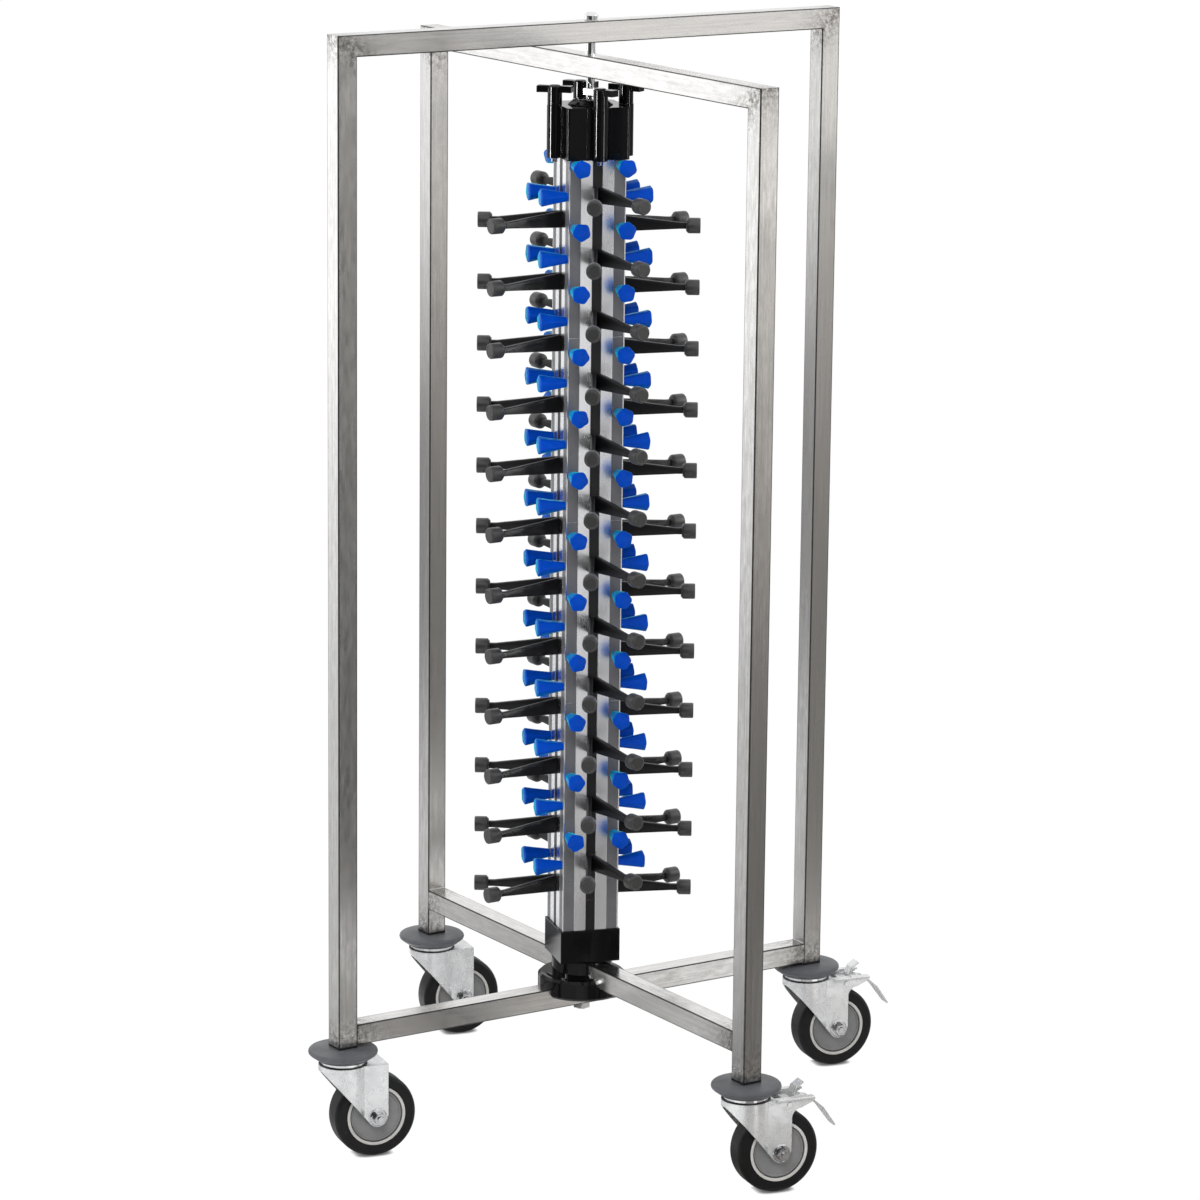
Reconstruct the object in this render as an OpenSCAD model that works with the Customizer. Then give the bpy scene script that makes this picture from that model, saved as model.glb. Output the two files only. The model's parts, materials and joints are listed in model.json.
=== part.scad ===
// Mobile plate rack: a turning column of plate holders in a stand of two crossed tube frames.
// The column axis is the Z axis and the floor is at Z = 0. The outer frame runs along X and the
// inner frame along Y. Each of the four sides of the column has fixed stops and a sliding rail
// of support arms, which a knob and a lead screw in the head move up and down.

/* [Frame] */
// Outside size of the square tube
tube = 25; // [20:1:30]
// Wall of the square tube
tube_wall = 1.5; // [1:0.1:2.5]
// Outside width of the outer frame
outer_span = 690; // [600:5:900]
// Outside width of the inner frame
inner_span = 728; // [600:5:940]
// Free gap between the two top bars
top_gap = 15; // [8:1:40]
// Free gap between the two bottom bars
base_gap = 6; // [3:0.5:12]
// Free height between the knobs and the inner top bar
knob_room = 9; // [4:0.1:60]

/* [Tiers] */
// Number of plates on each side of the column
tiers = 12; // [4:1:14]
// Height from one plate to the next
pitch = 73; // [70:0.5:90]
// Height of the lowest stop over the foot of the column
first_rise = 158.2; // [130:0.1:180]
// Height from the highest stop to the head
head_drop = 6.5; // [6.5:0.5:20]
// Least drop from a stop to the caps under it
spacing_min = 26; // [26:1:30]
// Greatest drop from a stop to the caps under it
spacing_max = 50; // [44:1:50]
// Drop from stop to cap on the front side
spacing_front = 36.5; // [28:0.5:44]
// Drop from stop to cap on the right side
spacing_right = 38; // [28:0.5:44]
// Drop from stop to cap on the back side
spacing_back = 35; // [28:0.5:44]
// Drop from stop to cap on the left side
spacing_left = 31.5; // [28:0.5:44]

/* [Column] */
// Outside width of the square column
column_w = 69; // [64:0.5:72]
// Wall of the column profile
column_wall = 3; // [2.5:0.1:3.4]
// Turn of the column in the stand, in degrees
column_turn = -17; // [-180:0.5:180]
// Width of the mouth of the rail channel
channel_w = 11.6; // [10:0.1:12]
// Width of the channel behind its mouth
channel_back_w = 17; // [15:0.5:18]
// Depth of the channel mouth
lip_t = 3; // [2:0.1:3.5]
// Depth of the channel behind its mouth
channel_back_t = 6; // [5:0.1:7]
// Width of the strip that carries the stops
strip_w = 12.4; // [9:0.2:12.8]
// Thickness of the strip that carries the stops
strip_t = 1.1; // [0.8:0.1:1.2]
// Width of the column corner outside the strip
corner_w = 1.8; // [1.6:0.1:2.4]
// Height of the base sleeve
sleeve_h = 40; // [30:1:50]
// Wall of the base sleeve
sleeve_wall = 2.2; // [2:0.1:4]
// Height of the lowest seam of the strips under the lowest stop
seam_drop = 56; // [30:1:60]
// Number of stops on one length of strip
strip_stops = 3; // [1:1:6]
// Width of a seam
seam_w = 0.5; // [0.3:0.1:1]

/* [Stops] */
// Distance of a stop from the edge of its side
stop_inset = 7.1; // [5.6:0.1:7.8]
// Length of a stop
stop_len = 32.5; // [30:0.5:36]
// Diameter of a stop at the column
stop_root_d = 10; // [8:0.5:10.5]
// Diameter of a stop at its end
stop_end_d = 20.6; // [16:0.2:21]
// Depth of the flutes as a share of the radius
flute_share = 0.07; // [0.02:0.01:0.1]

/* [Support arms] */
// Length of an arm from the rail to the end of its cap
arm_reach = 94; // [70:1:100]
// Angle between an arm and the straight way out
arm_angle = 16.4; // [13:0.2:20]
// Thickness of an arm
arm_t = 6; // [4:0.5:6.5]
// Height of an arm at the rail
arm_root_h = 19; // [14:0.5:20]
// Height of the middle of an arm over its cap at the rail
arm_lift = 2; // [0:0.5:2.5]
// Length of the even neck of an arm behind its cap
arm_neck = 7; // [4:0.5:12]
// Height of an arm at its cap
arm_tip_h = 7.5; // [5:0.5:8]
// Diameter of a rubber cap
cap_d = 18.4; // [15:0.2:19]
// Length of a rubber cap
cap_len = 17; // [14:0.5:20]
// Depth of the pocket in a rubber cap
cap_pocket = 12; // [6:0.5:13]

/* [Head] */
// Height of the head
head_h = 61; // [56:1:80]
// Wall of the head round the column
head_wall = 3.5; // [2.5:0.1:4]
// Thickness of the head over the column
head_top_t = 9; // [6:0.5:12]
// Radius of the round housing of a lead screw
lobe_r = 9; // [9:0.1:10]
// Distance of a lead screw from the face of the column
screw_gap = 8.5; // [8:0.5:11.5]
// Diameter of a lead screw
screw_d = 7; // [5:0.5:8]
// Height of the nut block on a rail
block_h = 12; // [8:0.5:13]
// Diameter of the knob neck
neck_d = 17; // [14:0.5:17.5]
// Height of the knob neck
neck_h = 14.5; // [10:0.5:20]
// Length of the knob bar
bar_len = 41; // [32:1:44]
// Width of the knob bar at its ends
bar_end_w = 13; // [10:0.5:15]
// Width of the knob bar at its middle
bar_mid_w = 8; // [6:0.5:12]
// Thickness of the knob bar
bar_t = 7.5; // [6:0.5:12]
// Diameter of the collar on the head
collar_d = 53; // [40:1:56]
// Height of the collar on the head
collar_h = 7; // [4:0.5:9]
// Diameter of the top rod
rod_d = 10; // [8:0.5:12]

/* [Hub] */
// Diameter of the drum of the hub
drum_d = 106; // [96:1:114]
// Height of the drum of the hub
drum_h = 24; // [20:0.5:26]
// Height of the drum under the top of the outer bottom bar
drum_drop = 11; // [6:0.5:15]
// Diameter of the neck of the hub
hub_neck_d = 73; // [64:1:78]
// Thickness of the hub over the inner bottom bar
hub_cap_t = 1.2; // [1:0.1:4]
// Diameter of the thrust washer
washer_d = 60; // [40:1:64]
// Thickness of the thrust washer
washer_t = 1; // [1:0.1:3]
// Diameter of the pivot bolt
pivot_d = 12; // [10:0.5:14]

/* [Casters] */
// Diameter of a wheel
wheel_d = 100; // [90:1:110]
// Width of a tyre
tyre_w = 32; // [26:0.5:33]
// Depth of the rubber of a tyre
tyre_t = 14; // [10:0.5:16]
// Distance of the axle behind the swivel axis
trail = 36; // [32:0.5:38]
// Heading of the casters, in degrees
heading = -11; // [-180:1:180]
// Free height between the tyre and the crown of the fork
crown_gap = 12; // [6:0.5:14]
// Thickness of the fork sheet
sheet_t = 2.5; // [2:0.1:3]
// Diameter of the crown of the fork
crown_d = 58; // [52:1:62]
// Outside width of the fork legs
fork_w = 44; // [42:0.5:48]
// Distance from the swivel axis to the back edge of a leg
leg_back = 49; // [48:0.5:52]
// Distance from the swivel axis to the end of a brake arm
brake_back = 77; // [70:1:82]
// Height of the raceway ring
race_h = 5.2; // [4:0.1:7]
// Diameter of the raceway ring
race_d = 54; // [44:1:56]
// Diameter of the threaded stem
stem_d = 12; // [10:0.5:14]
// Diameter of the bumper disc
bumper_d = 82; // [70:1:100]
// Height of the bumper disc
bumper_h = 14.5; // [12:0.5:24]
// Thickness of the foot of the tube plug
plug_foot = 3; // [2:0.5:5]
// Diameter of the wheel axle
axle_d = 8; // [6:0.5:10]

/* [Hidden] */
$fn = 48;

// Turns, clearances and overruns
half_turn = 180;
quarter_turn = 90;
over = 1;
slide_clear = 0.3;
turn_clear = 0.05;
rest_clear = 0.3;

// Small sizes of the fasteners: widths and heights of nuts and heads as shares of their thread
nut_w_share = 1.6;
nut_h_share = 0.6;
head_h_share = 0.65;
cap_nut_share = 0.8;
washer_w_share = 2;
stub = 2;
plain_washer_t = 1.6;

// Small sizes of the hub, the pivot and the top rod
drum_round = 3;
drum_step_h = 1.5;
drum_step_in = 9;
pivot_rise = 15;
rod_depth = 24;
pin_rise = 1;
cross_pin_d = 3;
cross_pin_out = 1.5;

// Small sizes of the column, head and knobs
stop_lobes = 5;
head_round = 4;
core_r = 8;
rib_w = 3;
rib_t = 1.2;
rib_side = 13;
ring_t = 1.2;
ring_out = 1.2;
screw_tail = 3.6;
rail_seam_drop = 44.5;
seam_depth = 0.4;
dome_h = 1;
dome_share = 0.6;
collar_rim = 1;
collar_shoulder_shares = [0.38, 0.8];
collar_top_share = 0.22;

// Small sizes of the casters
plug_h = 40;
stem_rise = 30;
rivet_t = 2.2;
bumper_low_share = 0.37;
bumper_top_share = 0.24;
bumper_rim_shares = [0.26, 0.66];
guard_step = 1;
guard_groove = 1.5;
rim_t = 3.5;
core_w_share = 1.3;
shoulder_share = 0.45;

// Heights of the caster, from the floor up
axle_z = wheel_d / 2;
crown_z = wheel_d + crown_gap + sheet_t;
race_z = crown_z + rest_clear;
bumper_z = race_z + race_h;
plug_z = bumper_z + bumper_h;
foot_z = plug_z + plug_foot;

// Heights of the base, from the foot of the frames up
inner_base_z = foot_z + tube + base_gap;
hub_top_z = inner_base_z + tube + hub_cap_t;
sleeve_z = hub_top_z + washer_t + rest_clear;
drum_z = foot_z + tube - drum_drop;

// Heights of the column, head and frames
first_stop_z = sleeve_z + first_rise;
head_z = first_stop_z + (tiers - 1) * pitch + head_drop;
head_top_z = head_z + head_h;
column_z = sleeve_z + sleeve_wall;
column_top_z = head_top_z - head_top_t;
knob_top_z = head_top_z + rest_clear + neck_h + bar_t + dome_h;
inner_top_z = knob_top_z + knob_room + tube;
outer_top_z = inner_top_z + top_gap + tube;

// Sides of the column: the turn of each side, the drop of its stops and its spacing
face = column_w / 2;
screw_reach = face + screw_gap;
side_turns = [-90, 0, 90, 180];
side_drops = [0, pitch / 2, 0, pitch / 2];
spacings = [spacing_front, spacing_right, spacing_back, spacing_left];
knob_turns = [38, -45, 46, -27];
spacing_mid = (spacing_min + spacing_max) / 2;
travel = spacing_max - spacing_min;

// The rail: it runs flush with the face and carries a root block for each pair of arms
rail_front = face - slide_clear;
arm_root_gap = 2.2;
cap_shoulder = 2.6;
cap_bevel = 0.8;
boss_front = face + arm_root_gap;
rail_w = channel_w - 2 * slide_clear;
rail_back_w = channel_back_w - 2 * slide_clear;
rail_end_gap = 12;
arm_side = arm_t / 2 / cos(arm_angle) + slide_clear / 2;

// The nut block and its cavity in the head
cavity_floor = 8;
cavity_roof = 4;
lobe_wall = 2;
cavity_z = head_z + cavity_floor;
cavity_top_z = column_top_z - cavity_roof;
block_r = lobe_r - lobe_wall - slide_clear;
block_mid_z = (cavity_z + cavity_top_z) / 2;
stop_side = face - stop_inset;
strip_side = face - corner_w - strip_w / 2;

// Sizes of the fork and of the brake arm that carries the pin of the pedal
boss_r = 12;
lip_h = 6;
fork_half = fork_w / 2;
crown_r = crown_d / 2;
roll_r = 1.8;
flange_w = 5;
arm_h = 12;
arm_tip = 5;
notch_r = 12;
pin_d = 4;
pin_x = 46;
pin_drop = 4.9;
pin_z = crown_z - sheet_t - pin_drop;

// Sizes of the brake pedal: the foot plate bends down behind the arm and the tab stands over it
pedal_t = 2.2;
pedal_w = 26;
pedal_tip_w = 15;
barrel_r = 3.2;
plate_rise = 2;
foot_reach = 33;
foot_drop = 38;
foot_bend_shares = [[0.09, 0.08], [0.48, 0.37], [1, 1]];
foot_narrow_share = 0.3;
foot_flat = 8;
tab_back = 22;
tab_rise = 19;
tab_shares = [[0.36, 0.68], [1, 1]];
shoe_x = 10;
shoe_t = 3;
shoe_drop = 7.8;
shoe_slope = 0.7;

function on_circle(c, r, a) = [c[0] + r * cos(a), c[1] + r * sin(a)];
function mirrored(points) = [for (i = [len(points) - 1 : -1 : 0]) [points[i][0], -points[i][1]]];

// Places a child at each foot of the two frames
module at_feet() {
  for (turn = [0, 90, 180, 270]) {
    reach = (turn % 180 == 0 ? outer_span : inner_span) / 2 - tube / 2;
    rotate([0, 0, turn]) translate([reach, 0, 0]) children();
  }
}

// One run of tube along X, mitred at the ends by the shares of a tube given
module tube_run(length, mitre_a, mitre_b) {
  outline = [
    [0, tube / 2], [length, tube / 2],
    [length - mitre_b * tube, -tube / 2], [mitre_a * tube, -tube / 2]
  ];
  inside = tube - 2 * tube_wall;
  difference() {
    linear_extrude(tube, center = true) polygon(outline);
    translate([-over, -inside / 2, -inside / 2]) cube([length + 2 * over, inside, inside]);
  }
}

module top_bar(span, top_z) {
  difference() {
    translate([-span / 2, 0, top_z - tube / 2]) rotate([90, 0, 0]) tube_run(span, 1, 1);
    translate([0, 0, top_z - tube - over]) cylinder(d = rod_d, h = tube + 2 * over);
  }
}

module bottom_bar(span, bar_z) {
  length = span - 2 * tube;
  difference() {
    translate([-length / 2, 0, bar_z + tube / 2]) rotate([90, 0, 0]) tube_run(length, 0, 0);
    translate([0, 0, bar_z - over]) cylinder(d = pivot_d, h = tube + 2 * over);
  }
}

module upright(span, top_z) {
  translate([tube / 2 - span / 2, 0, foot_z]) rotate([90, -90, 0]) tube_run(top_z - foot_z, 0, 1);
}

module stainless() { color([0.72, 0.71, 0.69]) children(); }
module zinc() { color([0.82, 0.83, 0.85]) children(); }
module gloss_black() { color([0.03, 0.03, 0.035]) children(); }

module outer_top_bar() { stainless() top_bar(outer_span, outer_top_z); }
module outer_bottom_bar() { stainless() bottom_bar(outer_span, foot_z); }
module outer_left_upright() { stainless() upright(outer_span, outer_top_z); }
module outer_right_upright() {
  stainless() rotate([0, 0, 180]) upright(outer_span, outer_top_z);
}
module inner_top_bar() { stainless() rotate([0, 0, 90]) top_bar(inner_span, inner_top_z); }
module inner_bottom_bar() {
  stainless() rotate([0, 0, 90]) bottom_bar(inner_span, inner_base_z);
}
module inner_front_upright() {
  stainless() rotate([0, 0, 90]) upright(inner_span, inner_top_z);
}
module inner_back_upright() {
  stainless() rotate([0, 0, -90]) upright(inner_span, inner_top_z);
}

// The hub holds both bottom bars where they cross and carries the column
module hub() {
  profile = [
    [0, drum_z], [drum_d / 2 - drum_round, drum_z], [drum_d / 2, drum_z + drum_round],
    [drum_d / 2, drum_z + drum_h - drum_round], [drum_d / 2 - drum_round, drum_z + drum_h],
    [drum_d / 2 - drum_step_in, drum_z + drum_h],
    [drum_d / 2 - drum_step_in, drum_z + drum_h + drum_step_h],
    [hub_neck_d / 2, drum_z + drum_h + drum_step_h], [hub_neck_d / 2, hub_top_z], [0, hub_top_z]
  ];
  gloss_black() difference() {
    rotate_extrude($fn = 96) polygon(profile);
    translate([-drum_d / 2 - over, -tube / 2, drum_z - over])
      cube([drum_d + 2 * over, tube, drum_drop + over]);
    translate([-tube / 2, -drum_d / 2 - over, inner_base_z])
      cube([tube, drum_d + 2 * over, tube]);
    translate([0, 0, drum_z]) cylinder(d = pivot_d, h = hub_top_z - drum_z + over);
  }
}

module thrust_washer() {
  color([0.75, 0.76, 0.78]) translate([0, 0, hub_top_z]) difference() {
    cylinder(d = washer_d, h = washer_t, $fn = 96);
    translate([0, 0, -over]) cylinder(d = pivot_d, h = washer_t + 2 * over);
  }
}

// The bolt stands on a nut under the outer bottom bar and ends inside the column
module pivot_bolt() {
  nut_h = nut_h_share * pivot_d;
  low_z = foot_z - nut_h - stub;
  zinc() union() {
    translate([0, 0, low_z]) cylinder(d = pivot_d, h = column_z + pivot_rise - low_z);
    translate([0, 0, foot_z - nut_h])
      cylinder(d = nut_w_share * pivot_d / cos(30), h = nut_h, $fn = 6);
  }
}

// The rod hangs in both top bars on a cross pin and the head collar turns on it
module top_rod() {
  pin_len = rod_d + 2 * cross_pin_out;
  low_z = head_top_z - rod_depth;
  zinc() union() {
    translate([0, 0, low_z])
      cylinder(d = rod_d, h = outer_top_z + plain_washer_t + nut_h_share * rod_d - low_z);
    translate([0, 0, inner_top_z + pin_rise + cross_pin_d / 2]) rotate([0, 90, 0])
      cylinder(d = cross_pin_d, h = pin_len, center = true);
  }
}

// A washer and a domed cap nut hold the rod on the outer top bar
module top_rod_nut() {
  nut_r = nut_w_share * rod_d / 2;
  nut_h = cap_nut_share * rod_d;
  dome = [
    [0, 0], [nut_r, 0], [nut_r, nut_h_share * nut_h], [nut_h_share * nut_r, nut_h], [0, nut_h]
  ];
  zinc() translate([0, 0, outer_top_z]) difference() {
    union() {
      cylinder(r = nut_r, h = plain_washer_t);
      translate([0, 0, plain_washer_t]) rotate_extrude() polygon(dome);
    }
    translate([0, 0, -over]) cylinder(d = rod_d, h = over + plain_washer_t + nut_h_share * rod_d);
  }
}

// Plugs close the feet of the uprights and hold the caster stems
module tube_plugs() {
  plug_w = tube - 2 * tube_wall;
  color([0.05, 0.05, 0.055]) at_feet() difference() {
    union() {
      translate([-tube / 2, -tube / 2, plug_z]) cube([tube, tube, plug_foot]);
      translate([-plug_w / 2, -plug_w / 2, foot_z]) cube([plug_w, plug_w, plug_h]);
    }
    translate([0, 0, plug_z - over]) cylinder(d = stem_d, h = plug_foot + plug_h + 2 * over);
  }
}

// A bumper is a dished rubber disc with a rounded rim
module caster_bumpers() {
  rim_r = bumper_rim_shares[0] * bumper_h;
  rim_z = bumper_rim_shares[1] * bumper_h;
  low_r = bumper_low_share * bumper_d;
  top_r = bumper_top_share * bumper_d;
  rim = [for (a = [-60 : 30 : 60]) on_circle([bumper_d / 2 - rim_r, rim_z], rim_r, a)];
  profile = concat([[stem_d / 2, 0], [low_r, 0]], rim, [[top_r, bumper_h], [stem_d / 2, bumper_h]]);
  color([0.36, 0.37, 0.39]) at_feet() translate([0, 0, bumper_z])
    rotate_extrude($fn = 72) polygon(profile);
}

// A stem carries the raceway ring over the crown and the rivet head under it
module caster_stems() {
  rivet_z = crown_z - sheet_t - rest_clear - rivet_t;
  zinc() at_feet() union() {
    translate([0, 0, rivet_z]) cylinder(d = stem_d, h = foot_z + stem_rise - rivet_z);
    translate([0, 0, rivet_z]) cylinder(d = nut_w_share * stem_d, h = rivet_t);
    translate([0, 0, race_z]) cylinder(d = race_d, h = race_h, $fn = 72);
  }
}

// Section of the column profile: walls, four rail channels, eight strip rebates and hollows
module column_section() {
  pocket_in = channel_back_w / 2 + column_wall;
  pocket_out = face - strip_t - column_wall;
  inner_out = face - lip_t - channel_back_t - column_wall;
  inner_in = core_r + column_wall;
  difference() {
    square(column_w, center = true);
    circle(r = core_r);
    for (turn = side_turns) rotate(turn) {
      translate([face - lip_t, -channel_w / 2]) square([lip_t + over, channel_w]);
      translate([face - lip_t - channel_back_t, -channel_back_w / 2])
        square([channel_back_t, channel_back_w]);
      translate([pocket_in, pocket_in]) square(pocket_out - pocket_in);
      translate([inner_in, -channel_back_w / 2]) square([inner_out - inner_in, channel_back_w]);
      for (side = [-1, 1]) translate([face - strip_t, side * strip_side - strip_w / 2])
        square([strip_t + over, strip_w]);
    }
  }
}

module column_profile() {
  color([0.80, 0.81, 0.83]) rotate([0, 0, column_turn]) translate([0, 0, column_z])
    linear_extrude(column_top_z - column_z) column_section();
}

// Strips fill the rebates from the sleeve to the head, each with the stops of a few plates
module stop_strips() {
  low_z = sleeve_z + sleeve_h;
  color([0.55, 0.56, 0.58]) rotate([0, 0, column_turn]) for (s = [0 : 3], side = [-1, 1]) {
    first_z = first_stop_z - side_drops[s] - seam_drop;
    between = [for (z = [first_z : strip_stops * pitch : head_z]) if (z > low_z + seam_w) z];
    joints = concat([low_z], between, [head_z]);
    rotate([0, 0, side_turns[s]]) for (i = [0 : len(joints) - 2])
      translate([face - strip_t, side * strip_side - strip_w / 2, joints[i] + seam_w / 2])
        cube([strip_t, strip_w, joints[i + 1] - joints[i] - seam_w]);
  }
}

// A stop is a tapered plug with five rounded lobes
module stop() {
  root_r = stop_root_d / 2;
  outline = [for (i = [0 : 2 * stop_lobes - 1])
    on_circle([0, 0], root_r * (1 + (i % 2 == 0 ? flute_share : -flute_share)),
      i * half_turn / stop_lobes)];
  rotate([0, 90, 0]) linear_extrude(stop_len, scale = stop_end_d / stop_root_d) polygon(outline);
}

module plate_stops() {
  color([0.0, 0.12, 0.75]) rotate([0, 0, column_turn]) for (s = [0 : 3])
    rotate([0, 0, side_turns[s]]) for (i = [0 : tiers - 1], side = [-1, 1])
      translate([face, side * stop_side, first_stop_z - side_drops[s] + i * pitch]) stop();
}

module base_sleeve() {
  sleeve_w = column_w + 2 * sleeve_wall;
  gloss_black() rotate([0, 0, column_turn]) translate([0, 0, sleeve_z]) difference() {
    translate([-sleeve_w / 2, -sleeve_w / 2, 0]) cube([sleeve_w, sleeve_w, sleeve_h]);
    translate([-face, -face, sleeve_wall]) cube([column_w, column_w, sleeve_h]);
    translate([0, 0, -over]) cylinder(d = pivot_d + 2 * turn_clear, h = sleeve_wall + 2 * over);
  }
}

// The head caps the column and houses a lead screw in a lobe on each side
module head_section() {
  half = face + head_wall;
  side = half - head_round;
  square([2 * half, 2 * side], center = true);
  square([2 * side, 2 * half], center = true);
  for (x = [-side, side], y = [-side, side]) translate([x, y]) circle(r = head_round);
  for (turn = side_turns) rotate(turn) {
    translate([screw_reach, 0]) circle(r = lobe_r);
    translate([face, -lobe_r]) square([screw_reach - face, 2 * lobe_r]);
    for (side = [-1, 1]) translate([face + head_wall, side * rib_side - rib_w / 2])
      square([rib_t, rib_w]);
  }
}

module head() {
  gloss_black() rotate([0, 0, column_turn]) difference() {
    translate([0, 0, head_z]) linear_extrude(head_h) head_section();
    translate([-face, -face, head_z - over])
      cube([column_w, column_w, column_top_z - head_z + over]);
    translate([0, 0, head_z]) cylinder(d = rod_d + 2 * turn_clear, h = head_h + over);
    for (turn = side_turns) rotate([0, 0, turn]) {
      translate([screw_reach, 0, cavity_z])
        cylinder(r = block_r + slide_clear, h = cavity_top_z - cavity_z);
      translate([face - over, -channel_w / 2, cavity_z])
        cube([screw_reach - face + over, channel_w, cavity_top_z - cavity_z]);
      translate([screw_reach, 0, head_z - over])
        cylinder(d = screw_d + 2 * turn_clear, h = head_h + 2 * over);
    }
  }
}

module head_collar() {
  profile = [
    [rod_d / 2 + turn_clear, 0], [collar_d / 2, 0], [collar_d / 2, collar_rim],
    [collar_shoulder_shares[0] * collar_d, collar_shoulder_shares[1] * collar_h],
    [collar_top_share * collar_d, collar_h], [rod_d / 2 + turn_clear, collar_h]
  ];
  gloss_black() translate([0, 0, head_top_z]) rotate_extrude($fn = 72) polygon(profile);
}

// Section of the rail: a tongue in the mouth of the channel and a wider back behind the lips
module rail_section() {
  back_front = face - lip_t - slide_clear;
  back_t = channel_back_t - 2 * slide_clear;
  translate([back_front - back_t, -rail_back_w / 2]) square([back_t, rail_back_w]);
  translate([back_front - over, -rail_w / 2]) square([rail_front - back_front + over, rail_w]);
}

// Places a child at the foot of each arm pair of side s, at the height of the cap centres
module at_tiers(s) {
  rotate([0, 0, column_turn + side_turns[s]]) for (i = [0 : tiers - 1])
    translate([0, 0, first_stop_z - side_drops[s] - spacings[s] + i * pitch]) children();
}

module arm_rail(s) {
  rail_mid_z = block_mid_z + spacing_mid - spacings[s];
  rail_low_z = column_z + travel / 2 + rail_end_gap + spacing_mid - spacings[s];
  seam_z = first_stop_z - side_drops[s] - spacings[s] - rail_seam_drop;
  color([0.06, 0.06, 0.065]) difference() {
    union() {
      rotate([0, 0, column_turn + side_turns[s]]) {
        translate([0, 0, rail_low_z])
          linear_extrude(rail_mid_z + block_h / 2 - rail_low_z) rail_section();
        translate([rail_front - over, -rail_w / 2, rail_mid_z - block_h / 2])
          cube([screw_reach - rail_front + over, rail_w, block_h]);
        translate([screw_reach, 0, rail_mid_z - block_h / 2]) cylinder(r = block_r, h = block_h);
      }
      at_tiers(s) translate([rail_front - over, -rail_w / 2, arm_lift - arm_root_h / 2])
        cube([boss_front - rail_front + over, rail_w, arm_root_h]);
    }
    rotate([0, 0, column_turn + side_turns[s]]) {
      translate([screw_reach, 0, rail_mid_z - block_h / 2 - over])
        cylinder(d = screw_d + 4 * turn_clear, h = block_h + 2 * over);
      translate([rail_front - seam_depth, -rail_w / 2 - over, seam_z])
        cube([seam_depth + over, rail_w + 2 * over, seam_w]);
    }
  }
}

// Side view of an arm: it tapers evenly from the rail to an even neck that enters the cap
module arm_bar() {
  arm_len = arm_reach - cap_len + cap_pocket;
  neck_start = arm_reach - cap_len - arm_neck;
  tip = arm_tip_h / 2;
  root_top = arm_lift + arm_root_h / 2;
  root_low = arm_lift - arm_root_h / 2;
  outline = [
    [-arm_t, root_low], [0, root_low], [neck_start, -tip], [arm_len, -tip],
    [arm_len, tip], [neck_start, tip], [0, root_top], [-arm_t, root_top]
  ];
  rotate([90, 0, 0]) linear_extrude(arm_t, center = true) polygon(outline);
}

module at_arm(side) {
  translate([boss_front, side * arm_side, 0]) rotate([0, 0, side * arm_angle]) children();
}

module support_arms(s) {
  color([0.09, 0.09, 0.095]) at_tiers(s) for (side = [-1, 1]) difference() {
    at_arm(side) arm_bar();
    translate([boss_front - 2 * arm_t, -2 * arm_t, -arm_root_h])
      cube([2 * arm_t, 4 * arm_t, 2 * arm_root_h]);
  }
}

module arm_cap() {
  cap_r = cap_d / 2;
  profile = [
    [0, 0], [cap_r - cap_shoulder, 0], [cap_r, cap_shoulder], [cap_r, cap_len - cap_bevel],
    [cap_r - cap_bevel, cap_len], [0, cap_len]
  ];
  difference() {
    translate([arm_reach - cap_len, 0, 0]) rotate([0, 90, 0]) rotate_extrude() polygon(profile);
    translate([arm_reach - cap_len - over, -arm_t / 2, -arm_tip_h / 2])
      cube([cap_pocket + over, arm_t, arm_tip_h]);
  }
}

module arm_caps(s) {
  color([0.20, 0.20, 0.20]) at_tiers(s) for (side = [-1, 1]) at_arm(side) arm_cap();
}

module at_screw(s) {
  rotate([0, 0, column_turn + side_turns[s]]) translate([screw_reach, 0, 0]) children();
}

// A knob is a domed neck with a bar that widens towards both ends
module knob(s) {
  bar_top = neck_h + bar_t;
  neck_r = neck_d / 2;
  neck = [
    [0, 0], [neck_r, 0], [neck_r, bar_top - dome_h], [dome_share * neck_r, bar_top + dome_h],
    [0, bar_top + dome_h]
  ];
  bow = [
    [-bar_len / 2, -bar_end_w / 2], [0, -bar_mid_w / 2], [bar_len / 2, -bar_end_w / 2],
    [bar_len / 2, bar_end_w / 2], [0, bar_mid_w / 2], [-bar_len / 2, bar_end_w / 2]
  ];
  gloss_black() at_screw(s) translate([0, 0, head_top_z + rest_clear]) difference() {
    union() {
      rotate_extrude() polygon(neck);
      translate([0, 0, neck_h]) rotate([0, 0, knob_turns[s]]) linear_extrude(bar_t) polygon(bow);
    }
    translate([0, 0, -over]) cylinder(d = screw_d, h = neck_h + over);
  }
}

// A lead screw runs from the knob to a retaining ring under the lobe
module lead_screw(s) {
  low_z = head_z - rest_clear - ring_t - screw_tail;
  zinc() at_screw(s) union() {
    translate([0, 0, low_z]) cylinder(d = screw_d, h = head_top_z + rest_clear + neck_h - low_z);
    translate([0, 0, low_z + screw_tail]) cylinder(d = screw_d + 2 * ring_out, h = ring_t);
  }
}

// Places a child at caster s in the caster's own frame, with X along the trail
module at_caster(s) {
  reach = (s % 2 == 1 ? outer_span : inner_span) / 2 - tube / 2;
  rotate([0, 0, side_turns[s]]) translate([reach, 0, 0]) rotate([0, 0, heading - side_turns[s]])
    children();
}

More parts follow.
